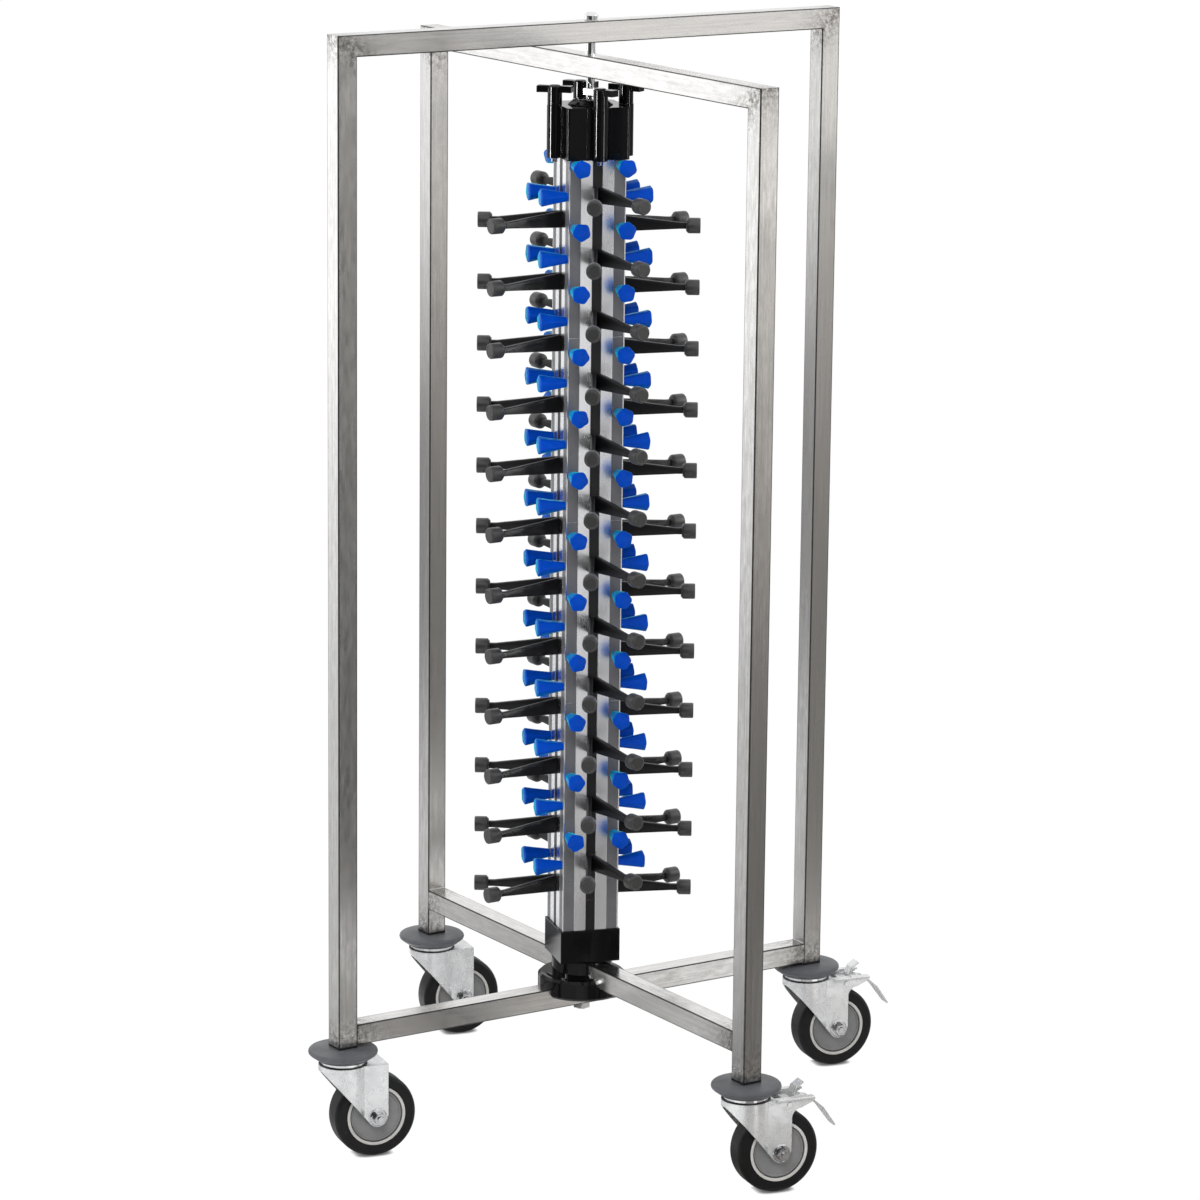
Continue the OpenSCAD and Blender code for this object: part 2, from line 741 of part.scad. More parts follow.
// Side view of a fork leg, with the slanted front edge tangent to the round axle end
module leg_profile(braked) {
  axle = [trail, axle_z];
  nose = [-crown_r, crown_z - lip_h];
  away = axle - nose;
  slant = atan2(away[1], away[0]) - asin(boss_r / norm(away));
  touch = on_circle(axle, boss_r, slant - quarter_turn);
  back = braked ? brake_back : leg_back;
  arm_low = crown_z - arm_h;
  difference() {
    union() {
      polygon([
        [-crown_r, crown_z], nose, touch, axle, [leg_back, axle_z], [leg_back, crown_z]
      ]);
      translate(axle) circle(r = boss_r);
      if (braked) polygon([
        [leg_back - over, crown_z], [back, crown_z], [back, crown_z - arm_tip],
        [leg_back + notch_r, arm_low], [leg_back + notch_r, arm_low - notch_r],
        [leg_back - over, arm_low - notch_r]
      ]);
    }
    if (braked) translate([leg_back + notch_r, arm_low - notch_r]) circle(r = notch_r);
  }
}

// Plan of a fork, from outside or from inside the sheet
module fork_plan(inset, back) {
  circle(r = crown_r - inset, $fn = 96);
  translate([0, inset - fork_half]) square([back, fork_w - 2 * inset]);
}

module caster_fork(s, braked) {
  back = braked ? brake_back : leg_back;
  tall = crown_z + over;
  zinc() at_caster(s) difference() {
    union() {
      intersection() {
        difference() {
          linear_extrude(crown_z) fork_plan(0, back);
          translate([0, 0, -over]) linear_extrude(crown_z - sheet_t + over)
            fork_plan(sheet_t, back + over);
        }
        rotate([90, 0, 0]) linear_extrude(2 * crown_d, center = true) leg_profile(braked);
      }
      if (braked) for (side = [-1, 1])
        translate([crown_r, side * fork_half, crown_z - roll_r]) rotate([0, 90, 0])
          cylinder(r = roll_r, h = back - crown_r);
    }
    if (braked) translate([crown_r, flange_w + sheet_t - fork_half, crown_z - sheet_t - over])
      cube([back, fork_w - 2 * sheet_t - 2 * flange_w, sheet_t + 2 * over]);
    cylinder(d = stem_d + 2 * turn_clear, h = tall);
    translate([trail, fork_half + over, axle_z]) rotate([90, 0, 0])
      cylinder(d = axle_d, h = fork_w + 2 * over);
    if (braked) translate([pin_x, fork_w, pin_z]) rotate([90, 0, 0])
      cylinder(d = pin_d, h = 2 * fork_w);
  }
}

// The axle bolt with its head, nut and washers, and on a braked caster the pin of the pedal
module caster_axle(s, braked) {
  hex_d = nut_w_share * axle_d / cos(30);
  head_t = head_h_share * axle_d;
  seat = fork_half + plain_washer_t;
  rivet_h = rivet_t / 2;
  zinc() at_caster(s) {
    translate([trail, 0, axle_z]) rotate([90, 0, 0]) union() {
      translate([0, 0, -seat]) cylinder(d = axle_d, h = 2 * seat + axle_d + stub);
      translate([0, 0, -seat - head_t]) cylinder(d = hex_d, h = head_t, $fn = 6);
      for (z = [-seat, fork_half]) translate([0, 0, z])
        cylinder(d = washer_w_share * axle_d, h = plain_washer_t);
      translate([0, 0, seat]) cylinder(d = hex_d, h = axle_d, $fn = 6);
    }
    if (braked) translate([pin_x, 0, pin_z]) rotate([90, 0, 0]) union() {
      cylinder(d = pin_d, h = fork_w, center = true);
      for (side = [-1, 1]) translate([0, 0, side * (fork_half + rivet_h / 2)])
        cylinder(d = nut_w_share * pin_d, h = rivet_h, center = true);
    }
  }
}

// The wheel core: a hub, a dished disc with its thread guards and a rim under the tyre
module caster_wheel(s) {
  bore_r = axle_d / 2 + turn_clear;
  core_w_r = core_w_share * axle_d;
  core_half = fork_half - sheet_t - rest_clear;
  rim_r = wheel_d / 2 - tyre_t;
  rim_in = rim_r - rim_t;
  rim_half = tyre_w / 2;
  guard_half = rim_half - guard_step;
  half = [
    [bore_r, core_half], [core_w_r, core_half], [core_w_r, guard_half],
    [rim_in - guard_groove, guard_half], [rim_in - guard_groove, guard_half - guard_groove],
    [rim_in, guard_half - guard_groove], [rim_in, rim_half], [rim_r, rim_half]
  ];
  color([0.45, 0.45, 0.45]) at_caster(s) translate([trail, 0, axle_z]) rotate([90, 0, 0])
    rotate_extrude($fn = 96) polygon(concat(half, mirrored(half)));
}

module caster_tyre(s) {
  tread_r = wheel_d / 2;
  rim_r = tread_r - tyre_t;
  half_w = tyre_w / 2;
  shoulder = shoulder_share * tyre_t;
  centre = [tread_r - shoulder, half_w - shoulder];
  half = concat([[rim_r, half_w]], [for (a = [90 : -22.5 : 0]) on_circle(centre, shoulder, a)]);
  color([0.04, 0.04, 0.042]) at_caster(s) translate([trail, 0, axle_z]) rotate([90, 0, 0])
    rotate_extrude($fn = 96) polygon(concat(half, mirrored(half)));
}

// Side view of a sheet of even thickness that follows a bent line
function left_of(a, b) = [a[1] - b[1], b[0] - a[0]] / norm(b - a);
function bend_normal(line, i) =
  i == 0 ? left_of(line[0], line[1]) :
  i == len(line) - 1 ? left_of(line[i - 1], line[i]) :
  let (n = left_of(line[i - 1], line[i]) + left_of(line[i], line[i + 1])) 2 * n / (n * n);
function sheet_side(line, half, side) = [for (i = [0 : len(line) - 1])
  line[i] + side * half * bend_normal(line, i)];
module bent_sheet(line, thick, width) {
  low = sheet_side(line, thick / 2, -1);
  high = sheet_side(line, thick / 2, 1);
  back = [for (i = [len(high) - 1 : -1 : 0]) high[i]];
  rotate([90, 0, 0]) linear_extrude(width, center = true) polygon(concat(low, back));
}

// The brake pedal rocks on its pin: a foot plate behind the fork, a release tab over it and a
// shoe under it that comes down on the tyre
module brake_pedal(s) {
  plate_z = pin_z + plate_rise;
  foot_x = brake_back + foot_reach;
  foot = [for (p = foot_bend_shares) [brake_back + p[0] * foot_reach, plate_z - p[1] * foot_drop]];
  tab_x = brake_back - tab_back;
  tab = [for (p = tab_shares) [tab_x + p[0] * (tab_back - foot_flat), plate_z + p[1] * tab_rise]];
  narrow_x = brake_back + foot_narrow_share * foot_reach;
  shoe_in = pin_x + shoe_x;
  shoe_z = pin_z - shoe_drop;
  shoe = [
    [shoe_in, plate_z], [shoe_in, shoe_z], [shoe_in + shoe_t, shoe_z - shoe_slope],
    [shoe_in + shoe_t, plate_z]
  ];
  half_w = pedal_w / 2;
  tip = pedal_tip_w / 2;
  plan = [
    [pin_x - barrel_r, -half_w], [narrow_x, -half_w], [foot_x + pedal_t, -tip],
    [foot_x + pedal_t, tip], [narrow_x, half_w], [pin_x - barrel_r, half_w]
  ];
  zinc() at_caster(s) difference() {
    union() {
      translate([pin_x, 0, pin_z]) rotate([90, 0, 0])
        cylinder(r = barrel_r, h = pedal_w, center = true);
      intersection() {
        bent_sheet(concat([[pin_x, plate_z], [brake_back - foot_flat, plate_z]], foot),
          pedal_t, pedal_w);
        linear_extrude(2 * crown_z) polygon(plan);
      }
      bent_sheet(concat([[tab_x, plate_z]], tab), pedal_t, pedal_tip_w);
      rotate([90, 0, 0]) linear_extrude(pedal_tip_w, center = true) polygon(shoe);
    }
    translate([pin_x, 0, pin_z]) rotate([90, 0, 0])
      cylinder(d = pin_d + 2 * turn_clear, h = 2 * pedal_w, center = true);
  }
}

outer_top_bar();
outer_bottom_bar();
outer_left_upright();
outer_right_upright();
inner_top_bar();
inner_bottom_bar();
inner_front_upright();
inner_back_upright();
hub();
thrust_washer();
pivot_bolt();
top_rod();
top_rod_nut();
tube_plugs();
caster_bumpers();
caster_stems();
column_profile();
stop_strips();
plate_stops();
base_sleeve();
head();
head_collar();
arm_rail(0);  // front_arm_rail
support_arms(0);  // front_support_arms
arm_caps(0);  // front_arm_caps
knob(0);  // front_knob
lead_screw(0);  // front_lead_screw
arm_rail(1);  // right_arm_rail
support_arms(1);  // right_support_arms
arm_caps(1);  // right_arm_caps
knob(1);  // right_knob
lead_screw(1);  // right_lead_screw
arm_rail(2);  // back_arm_rail
support_arms(2);  // back_support_arms
arm_caps(2);  // back_arm_caps
knob(2);  // back_knob
lead_screw(2);  // back_lead_screw
arm_rail(3);  // left_arm_rail
support_arms(3);  // left_support_arms
arm_caps(3);  // left_arm_caps
knob(3);  // left_knob
lead_screw(3);  // left_lead_screw
caster_fork(0, true);  // front_caster_fork
caster_axle(0, true);  // front_caster_axle
caster_wheel(0);  // front_caster_wheel
caster_tyre(0);  // front_caster_tyre
caster_fork(1, true);  // right_caster_fork
caster_axle(1, true);  // right_caster_axle
caster_wheel(1);  // right_caster_wheel
caster_tyre(1);  // right_caster_tyre
caster_fork(2, false);  // back_caster_fork
caster_axle(2, false);  // back_caster_axle
caster_wheel(2);  // back_caster_wheel
caster_tyre(2);  // back_caster_tyre
caster_fork(3, false);  // left_caster_fork
caster_axle(3, false);  // left_caster_axle
caster_wheel(3);  // left_caster_wheel
caster_tyre(3);  // left_caster_tyre
brake_pedal(0);  // front_brake_pedal
brake_pedal(1);  // right_brake_pedal
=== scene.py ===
"""A mobile plate rack: a turning column of plate holders in a stand of two crossed tube frames.

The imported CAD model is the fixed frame. This scene gives its parts their finishes and adds the
detail that the solids leave out. Lengths are in metres, in the frame of the CAD model.
"""

import json
import math

import bmesh
import bpy
from mathutils import Matrix, Vector

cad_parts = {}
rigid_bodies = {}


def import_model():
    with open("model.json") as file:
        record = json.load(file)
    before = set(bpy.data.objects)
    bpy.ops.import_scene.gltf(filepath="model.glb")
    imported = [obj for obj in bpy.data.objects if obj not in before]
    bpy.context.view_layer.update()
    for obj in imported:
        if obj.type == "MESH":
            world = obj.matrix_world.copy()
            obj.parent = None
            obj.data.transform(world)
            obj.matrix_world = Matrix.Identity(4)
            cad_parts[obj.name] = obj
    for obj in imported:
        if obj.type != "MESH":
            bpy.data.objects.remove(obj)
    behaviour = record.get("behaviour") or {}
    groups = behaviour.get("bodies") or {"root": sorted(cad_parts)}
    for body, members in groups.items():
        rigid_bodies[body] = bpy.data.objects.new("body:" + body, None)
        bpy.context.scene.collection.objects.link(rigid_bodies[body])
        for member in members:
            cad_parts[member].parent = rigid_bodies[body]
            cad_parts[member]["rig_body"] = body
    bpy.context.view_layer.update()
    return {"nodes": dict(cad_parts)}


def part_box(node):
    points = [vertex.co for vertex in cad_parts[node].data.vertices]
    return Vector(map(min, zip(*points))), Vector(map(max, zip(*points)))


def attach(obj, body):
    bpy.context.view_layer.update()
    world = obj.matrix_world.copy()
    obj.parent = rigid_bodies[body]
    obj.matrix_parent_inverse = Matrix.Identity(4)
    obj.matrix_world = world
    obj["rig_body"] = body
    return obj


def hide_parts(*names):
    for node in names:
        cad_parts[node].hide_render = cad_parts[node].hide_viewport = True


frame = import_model()
nodes = frame["nodes"]

# Sizes that the source also names
TUBE = 0.025
COLUMN_TURN = math.radians(-17)
COLUMN_W = 0.069
TIERS = 12
PITCH = 0.073
FIRST_STOP = 0.3542
STOP_SIDE = 0.0274
STOP_LEN = 0.0325
STOP_LOBES = 5
STOP_ROOT_R = 0.005
STOP_END_R = 0.0103
SPACINGS = {"front": 0.0365, "right": 0.038, "back": 0.035, "left": 0.0315}
ARM_ANGLE = math.radians(16.4)
ARM_T = 0.006
ARM_REACH = 0.094
ARM_ROOT_H = 0.019
ARM_LIFT = 0.002
ARM_TIP_H = 0.0075
ARM_NECK = 0.007
ARM_ROOT_X = COLUMN_W / 2 + 0.0022
CAP_R = 0.0092
CAP_LEN = 0.017
HEADING = math.radians(-11)
TRAIL = 0.036
RACE_Z = 0.1148
RIVET_Z = 0.1503

# Sizes of the small detail that is added here
TUBE_CORNER_R = 0.0010
CORNER_STEPS = 4
# How far the painted dark reflection on each tube corner reaches onto its flat sides
CORNER_LINE = 0.0007
STAIN_REACH = 0.04
STAIN_ROWS = (0.0, 0.006, 0.015, 0.03, 0.055)
STOP_LOBE_DEPTH = 0.06
STOP_ROLL = 0.6
HALF_ARM_GAP = 0.00015
ARM_EDGE_R = 0.0010
RIVET_STEP = 0.0057
BEADS = 12
BEAD_R = 0.0013
FIRST_BEAD = 0.0021
BEAD_STEP = 0.00189

# The photograph's camera, from the corners of both frames; its focal length and centre in pixels
CAMERA_TURN, CAMERA_RISE, CAMERA_ROLL = -0.5806690472, 0.2207478726, 0.0115481393
CAMERA_DISTANCE, CAMERA_SLIDE, CAMERA_LIFT = 5.871568, 0.041470, -0.018801
AIM_Z = 0.661
PHOTO_SIZE = 1200
FOCAL = 4948.727
CENTRE = (620.465, 594.023)
SENSOR = 36.0

# The studio
FLOOR_REACH = 14.0
WORLD_LIGHT = 0.43
CARD_R = 1.4
CARD_LIFT = 0.006
MAT_LIFT = 0.008
CARD_STEPS = 24
ROWS_TO_A_LEVEL = 4
WHITE = (1.0, 1.0, 1.0)
WARM = (1.0, 0.955, 0.905)

X, Y, Z = range(3)
SIDES = ("front", "right", "back", "left")
SIDE_TURNS = {"front": -math.pi / 2, "right": 0.0, "back": math.pi / 2, "left": math.pi}
SIDE_DROPS = {"front": 0.0, "right": PITCH / 2, "back": 0.0, "left": PITCH / 2}
UPRIGHTS = ("outer_left_upright", "outer_right_upright", "inner_front_upright",
            "inner_back_upright")


# Meshes

def added(name, data):
    """A new object in the scene."""
    item = bpy.data.objects.new(name, data)
    bpy.context.scene.collection.objects.link(item)
    return item


def finished(name, bm, smooth=35.0):
    """Makes a mesh object from bm, smooth except at edges sharper than the angle given."""
    mesh = bpy.data.meshes.new(name)
    bm.to_mesh(mesh)
    bm.free()
    mesh.shade_smooth()
    mesh.set_sharp_from_angle(angle=math.radians(smooth))
    return added(name, mesh)


def copy_of(node):
    """A merged copy of a CAD node's mesh, with its flat faces whole."""
    bm = bmesh.new()
    bm.from_mesh(nodes[node].data)
    bmesh.ops.remove_doubles(bm, verts=bm.verts, dist=3e-6)
    bmesh.ops.dissolve_limit(
        bm, angle_limit=math.radians(0.2), verts=bm.verts, edges=bm.edges, delimit={"NORMAL"}
    )
    return bm


def keep_flat(piece):
    """Shades a piece's flat faces flat, right up to their rounded edges."""
    flat = piece.modifiers.new("Flat faces", "WEIGHTED_NORMAL")
    flat.keep_sharp = True


def soften(piece, width, segments, angle):
    """Rounds a piece's edges and keeps its flat faces flat."""
    bevel = piece.modifiers.new("Round edges", "BEVEL")
    bevel.width = width
    bevel.segments = segments
    bevel.limit_method = "ANGLE"
    bevel.angle_limit = math.radians(angle)
    bevel.use_clamp_overlap = True
    keep_flat(piece)


def dress(piece, finish, slot, body, *stands_for):
    """Gives a finished piece its material and body, and the CAD nodes it stands for. Its slot is
    not used.
    """
    if finish is not None:
        piece.data.materials.clear()
        piece.data.materials.append(finish)
    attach(piece, body)
    if stands_for:
        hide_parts(*stands_for)
    return piece


def plain(base):
    """The plain mesh of an object with its modifiers, which is then removed."""
    depsgraph = bpy.context.evaluated_depsgraph_get()
    mesh = bpy.data.meshes.new_from_object(base.evaluated_get(depsgraph))
    bpy.data.objects.remove(base)
    return mesh


def join_meshes(name, meshes):
    """One object from several meshes, each with its own materials kept by slot."""
    bm = bmesh.new()
    materials = []
    for mesh in meshes:
        first = len(bm.faces)
        bm.from_mesh(mesh)
        bm.faces.ensure_lookup_table()
        for face in bm.faces[first:]:
            material = mesh.materials[face.material_index] if mesh.materials else None
            if material not in materials:
                materials.append(material)
            face.material_index = materials.index(material)
    mesh = bpy.data.meshes.new(name)
    bm.to_mesh(mesh)
    bm.free()
    for material in materials:
        mesh.materials.append(material)
    return added(name, mesh)


def skin(bm, rings):
    """Faces from each ring of points to the next, and one face over either end."""
    count = len(rings[0])
    for one, other in zip(rings, rings[1:]):
        for i in range(count):
            j = (i + 1) % count
            bm.faces.new((one[i], one[j], other[j], other[i]))
    bm.faces.new(rings[0])
    bm.faces.new(rings[-1])
    bmesh.ops.recalc_face_normals(bm, faces=bm.faces)
    return bm


def lathe(profile, segments, closed=True):
    """A turned solid about Z from a profile of (radius, height) points."""
    bm = bmesh.new()
    rings = []
    for radius, height in profile:
        if radius < 1e-6:
            rings.append([bm.verts.new((0, 0, height))])
            continue
        rings.append([
            bm.verts.new((radius * math.cos(a), radius * math.sin(a), height))
            for a in (2 * math.pi * i / segments for i in range(segments))
        ])
    pairs = list(zip(rings, rings[1:]))
    if closed:
        pairs.append((rings[-1], rings[0]))
    for low, high in pairs:
        if len(low) == 1 and len(high) == 1:
            continue
        for i in range(segments):
            j = (i + 1) % segments
            if len(low) == 1:
                bm.faces.new((low[0], high[j], high[i]))
            elif len(high) == 1:
                bm.faces.new((low[i], low[j], high[0]))
            else:
                bm.faces.new((low[i], low[j], high[j], high[i]))
    bmesh.ops.recalc_face_normals(bm, faces=bm.faces)
    return bm


def side_matrix(side):
    """The turn of one side of the column: X straight out of it."""
    return Matrix.Rotation(COLUMN_TURN + SIDE_TURNS[side], 4, "Z")


def caster_matrix(side):
    """The place of a caster: X along its trail, Z up its stem."""
    low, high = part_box(side + "_caster_wheel")
    turn = Matrix.Rotation(HEADING, 4, "Z")
    middle = (low + high) / 2
    foot = middle - turn @ Vector((TRAIL, 0, 0))
    return Matrix.Translation((foot.x, foot.y, 0)) @ turn


def wheel_matrix(side):
    """The place of a wheel: Z along its axle, which points to the caster's left."""
    low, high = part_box(side + "_caster_wheel")
    place = Matrix.Translation((low + high) / 2) @ Matrix.Rotation(HEADING, 4, "Z")
    return place @ Matrix.Rotation(math.pi / 2, 4, "X")


# Node trees

def fill(tree, node, inputs):
    """Sets a node's inputs, or links those that are given a socket."""
    for name, value in inputs.items():
        if isinstance(value, bpy.types.NodeSocket):
            tree.links.new(value, node.inputs[name])
        else:
            node.inputs[name].default_value = value


def put(tree, kind, inputs=None, **settings):
    """Adds a node with its own settings and its inputs."""
    node = tree.nodes.new(kind)
    for name, value in settings.items():
        setattr(node, name, value)
    fill(tree, node, inputs or {})
    return node


def new_tree(name, kind, inputs, outputs):
    """A node group with named inputs (with defaults) and outputs: its tree, start and end."""
    tree = bpy.data.node_groups.new(name, kind)
    for label, socket_type, value in inputs:
        socket = tree.interface.new_socket(label, in_out="INPUT", socket_type=socket_type)
        if value is not None:
            socket.default_value = value
    for label, socket_type in outputs:
        tree.interface.new_socket(label, in_out="OUTPUT", socket_type=socket_type)
    return tree, tree.nodes.new("NodeGroupInput").outputs, tree.nodes.new("NodeGroupOutput")


# Geometry node trees

def set_out(tree, end, points, part, rotation, finish):
    """Ends a tree: a part on every point, made real, in its finish."""
    copies = put(tree, "GeometryNodeInstanceOnPoints", {
        "Points": points, "Instance": part, "Rotation": rotation,
    })
    real = put(tree, "GeometryNodeRealizeInstances", {0: copies.outputs[0]})
    painted = put(tree, "GeometryNodeSetMaterial", {
        "Geometry": real.outputs[0], "Material": finish,
    })
    fill(tree, end, {0: painted.outputs[0]})
    return tree


def tier_tree():
    """Repeats a part up the column, each one rolled a little about its own length."""
    tree, start, end = new_tree(
        "Parts up the column", "GeometryNodeTree",
        [("Geometry", "NodeSocketGeometry", None), ("Tiers", "NodeSocketInt", None),
         ("Pitch", "NodeSocketFloat", None), ("Foot", "NodeSocketVector", None),
         ("Turn", "NodeSocketFloat", None), ("Roll", "NodeSocketFloat", None),
         ("Seed", "NodeSocketInt", None), ("Finish", "NodeSocketMaterial", None)],
        [("Geometry", "NodeSocketGeometry")],
    )
    rise = put(tree, "ShaderNodeCombineXYZ", {"Z": start["Pitch"]})
    line = put(tree, "GeometryNodeMeshLine", {
        "Count": start["Tiers"], "Start Location": start["Foot"], "Offset": rise.outputs[0],
    })
    roll = put(tree, "FunctionNodeRandomValue", {
        2: product(tree, start["Roll"], -1.0), 3: start["Roll"], "Seed": start["Seed"],
    })
    turned_to = put(tree, "ShaderNodeCombineXYZ", {"X": roll.outputs[1], "Z": start["Turn"]})
    rotation = put(tree, "FunctionNodeEulerToRotation", {0: turned_to.outputs[0]})
    return set_out(tree, end, line.outputs[0], start["Geometry"], rotation.outputs[0],
                   start["Finish"])


def point_tree():
    """Sets a part on every point of a mesh, turned to the point's own outward direction."""
    tree, start, end = new_tree(
        "Parts on points", "GeometryNodeTree",
        [("Geometry", "NodeSocketGeometry", None), ("Part", "NodeSocketObject", None),
         ("Finish", "NodeSocketMaterial", None)],
        [("Geometry", "NodeSocketGeometry")],
    )
    part = put(tree, "GeometryNodeObjectInfo", {"Object": start["Part"]})
    outward = put(tree, "GeometryNodeInputNamedAttribute", {"Name": "outward"},
                  data_type="FLOAT_VECTOR")
    rotation = put(tree, "FunctionNodeAlignRotationToVector", {"Vector": outward.outputs[0]})
    return set_out(tree, end, start["Geometry"], part.outputs["Geometry"], rotation.outputs[0],
                   start["Finish"])


def grown(base, tree, values):
    """The plain mesh that a node tree makes from a base object, which is then removed."""
    modifier = base.modifiers.new("Grow", "NODES")
    modifier.node_group = tree
    for item in tree.interface.items_tree:
        if item.in_out == "INPUT" and item.name in values:
            modifier[item.identifier] = values[item.name]
    return plain(base)


# Shader nodes

def ranged(tree, value, was, becomes=(0.0, 1.0)):
    """A value moved from one range to another, and held inside it."""
    return put(tree, "ShaderNodeMapRange", {
        "Value": value, "From Min": was[0], "From Max": was[1],
        "To Min": becomes[0], "To Max": becomes[1],
    }).outputs[0]


def product(tree, one, other):
    """Two numbers multiplied."""
    return put(tree, "ShaderNodeMath", {0: one, 1: other}, operation="MULTIPLY").outputs[0]


def noise(tree, place, scale, detail, roughness=0.5):
    """A cloudy noise of a given scale."""
    return put(tree, "ShaderNodeTexNoise", {
        "Vector": place, "Scale": scale, "Detail": detail, "Roughness": roughness,
    }).outputs[0]


def opaque(tone):
    """A colour socket as it is, or a tone with full alpha."""
    return tone if isinstance(tone, bpy.types.NodeSocket) else (*tone, 1.0)


def blended(tree, share, one, other):
    """One colour turned into another by a share from 0 to 1."""
    return put(tree, "ShaderNodeMix", {0: share, 6: opaque(one), 7: opaque(other)},
               data_type="RGBA").outputs[2]


def brushed_grain_group():
    """Fine streaks along one direction, and broad cloudy patches drawn out the same way."""
    tree, start, end = new_tree(
        "Brushed grain", "ShaderNodeTree",
        [("Vector", "NodeSocketVector", None), ("Stretch", "NodeSocketVector", (1, 1, 1)),
         ("Fine", "NodeSocketFloat", 700.0), ("Broad", "NodeSocketFloat", 25.0)],
        [("Streaks", "NodeSocketFloat"), ("Patches", "NodeSocketFloat")],
    )
    drawn = put(tree, "ShaderNodeVectorMath", {0: start["Vector"], 1: start["Stretch"]},
                operation="MULTIPLY").outputs[0]
    part = put(tree, "ShaderNodeVectorMath", {0: drawn, 1: (3.0, 3.0, 3.0)},
               operation="MULTIPLY").outputs[0]
    mixed = put(tree, "ShaderNodeVectorMath", {0: part, 1: start["Vector"]},
                operation="ADD").outputs[0]
    fill(tree, end, {
        "Streaks": noise(tree, drawn, start["Fine"], 3.0, 0.65),
        "Patches": noise(tree, mixed, start["Broad"], 5.0, 0.6),
    })
    return tree


def edge_abrasion_and_light_group():
    """A mask that is bright along outer edges, broken up by a fine noise. It places edge abrasion,
    painted highlights and painted dark reflections.
    """
    tree, start, end = new_tree(
        "Edge abrasion and painted light", "ShaderNodeTree",
        [("Vector", "NodeSocketVector", None), ("Radius", "NodeSocketFloat", 0.0012)],
        [("Mask", "NodeSocketFloat")],
    )
    rounded_normal = put(tree, "ShaderNodeBevel", {"Radius": start["Radius"]}, samples=4)
    surface = put(tree, "ShaderNodeNewGeometry")
    facing = put(tree, "ShaderNodeVectorMath", {
        0: rounded_normal.outputs[0], 1: surface.outputs["Normal"],
    }, operation="DOT_PRODUCT")
    edge = ranged(tree, facing.outputs["Value"], (0.99, 0.8))
    broken = ranged(tree, noise(tree, start["Vector"], 180.0, 4.0), (0.4, 0.62), (0.15, 1.0))
    fill(tree, end, {"Mask": product(tree, edge, broken)})
    return tree


def dust_group():
    """A mask of settled dust: faces that look up, in soft patches and specks."""
    tree, start, end = new_tree(
        "Settled dust", "ShaderNodeTree",
        [("Vector", "NodeSocketVector", None), ("Amount", "NodeSocketFloat", 0.3)],
        [("Mask", "NodeSocketFloat")],
    )
    surface = put(tree, "ShaderNodeNewGeometry")
    parts = put(tree, "ShaderNodeSeparateXYZ", {0: surface.outputs["Normal"]})
    up = ranged(tree, parts.outputs["Z"], (0.1, 1.0), (0.12, 1.0))
    patch = ranged(tree, noise(tree, start["Vector"], 55.0, 6.0, 0.7), (0.42, 0.7))
    mask = put(tree, "ShaderNodeMath", {0: product(tree, up, patch), 1: start["Amount"]},
               operation="MULTIPLY", use_clamp=True)
    fill(tree, end, {"Mask": mask.outputs[0]})
    return tree


def surface_group():
    """The normal of a slightly uneven surface."""
    tree, start, end = new_tree(
        "Uneven surface", "ShaderNodeTree",
        [("Vector", "NodeSocketVector", None), ("Scale", "NodeSocketFloat", 300.0),
         ("Depth", "NodeSocketFloat", 0.0001)],
        [("Normal", "NodeSocketVector")],
    )
    bump = put(tree, "ShaderNodeBump", {
        "Height": noise(tree, start["Vector"], start["Scale"], 3.0),
        "Distance": start["Depth"], "Strength": 1.0,
    })
    fill(tree, end, {"Normal": bump.outputs[0]})
    return tree


BRUSHED_GRAIN = brushed_grain_group()
EDGE_ABRASION_AND_LIGHT = edge_abrasion_and_light_group()
DUST = dust_group()
UNEVEN = surface_group()


# Finishes

METAL_DUST = (0.45, 0.44, 0.42)
PLASTIC_DUST = (0.40, 0.39, 0.37)


def new_material(name):
    """A material, with its tree, its shader and the place on the object that patterns follow."""
    material = bpy.data.materials.new(name)
    material.use_nodes = True
    tree = material.node_tree
    shader = tree.nodes["Principled BSDF"]
    place = put(tree, "ShaderNodeTexCoord").outputs["Object"]
    return material, tree, shader, place


def use(tree, group, inputs):
    """The outputs of a shader group, placed in a material with its own values."""
    return put(tree, "ShaderNodeGroup", inputs, node_tree=group).outputs


def painted_on(tree, name):
    """A number that the mesh carries at each point."""
    return put(tree, "ShaderNodeAttribute", attribute_name=name).outputs["Fac"]


def streak_bump(tree, streaks, depth, strength):
    """The normal of a surface with fine streaks of a given depth."""
    return put(tree, "ShaderNodeBump", {
        "Height": streaks, "Distance": depth, "Strength": strength,
    }).outputs[0]


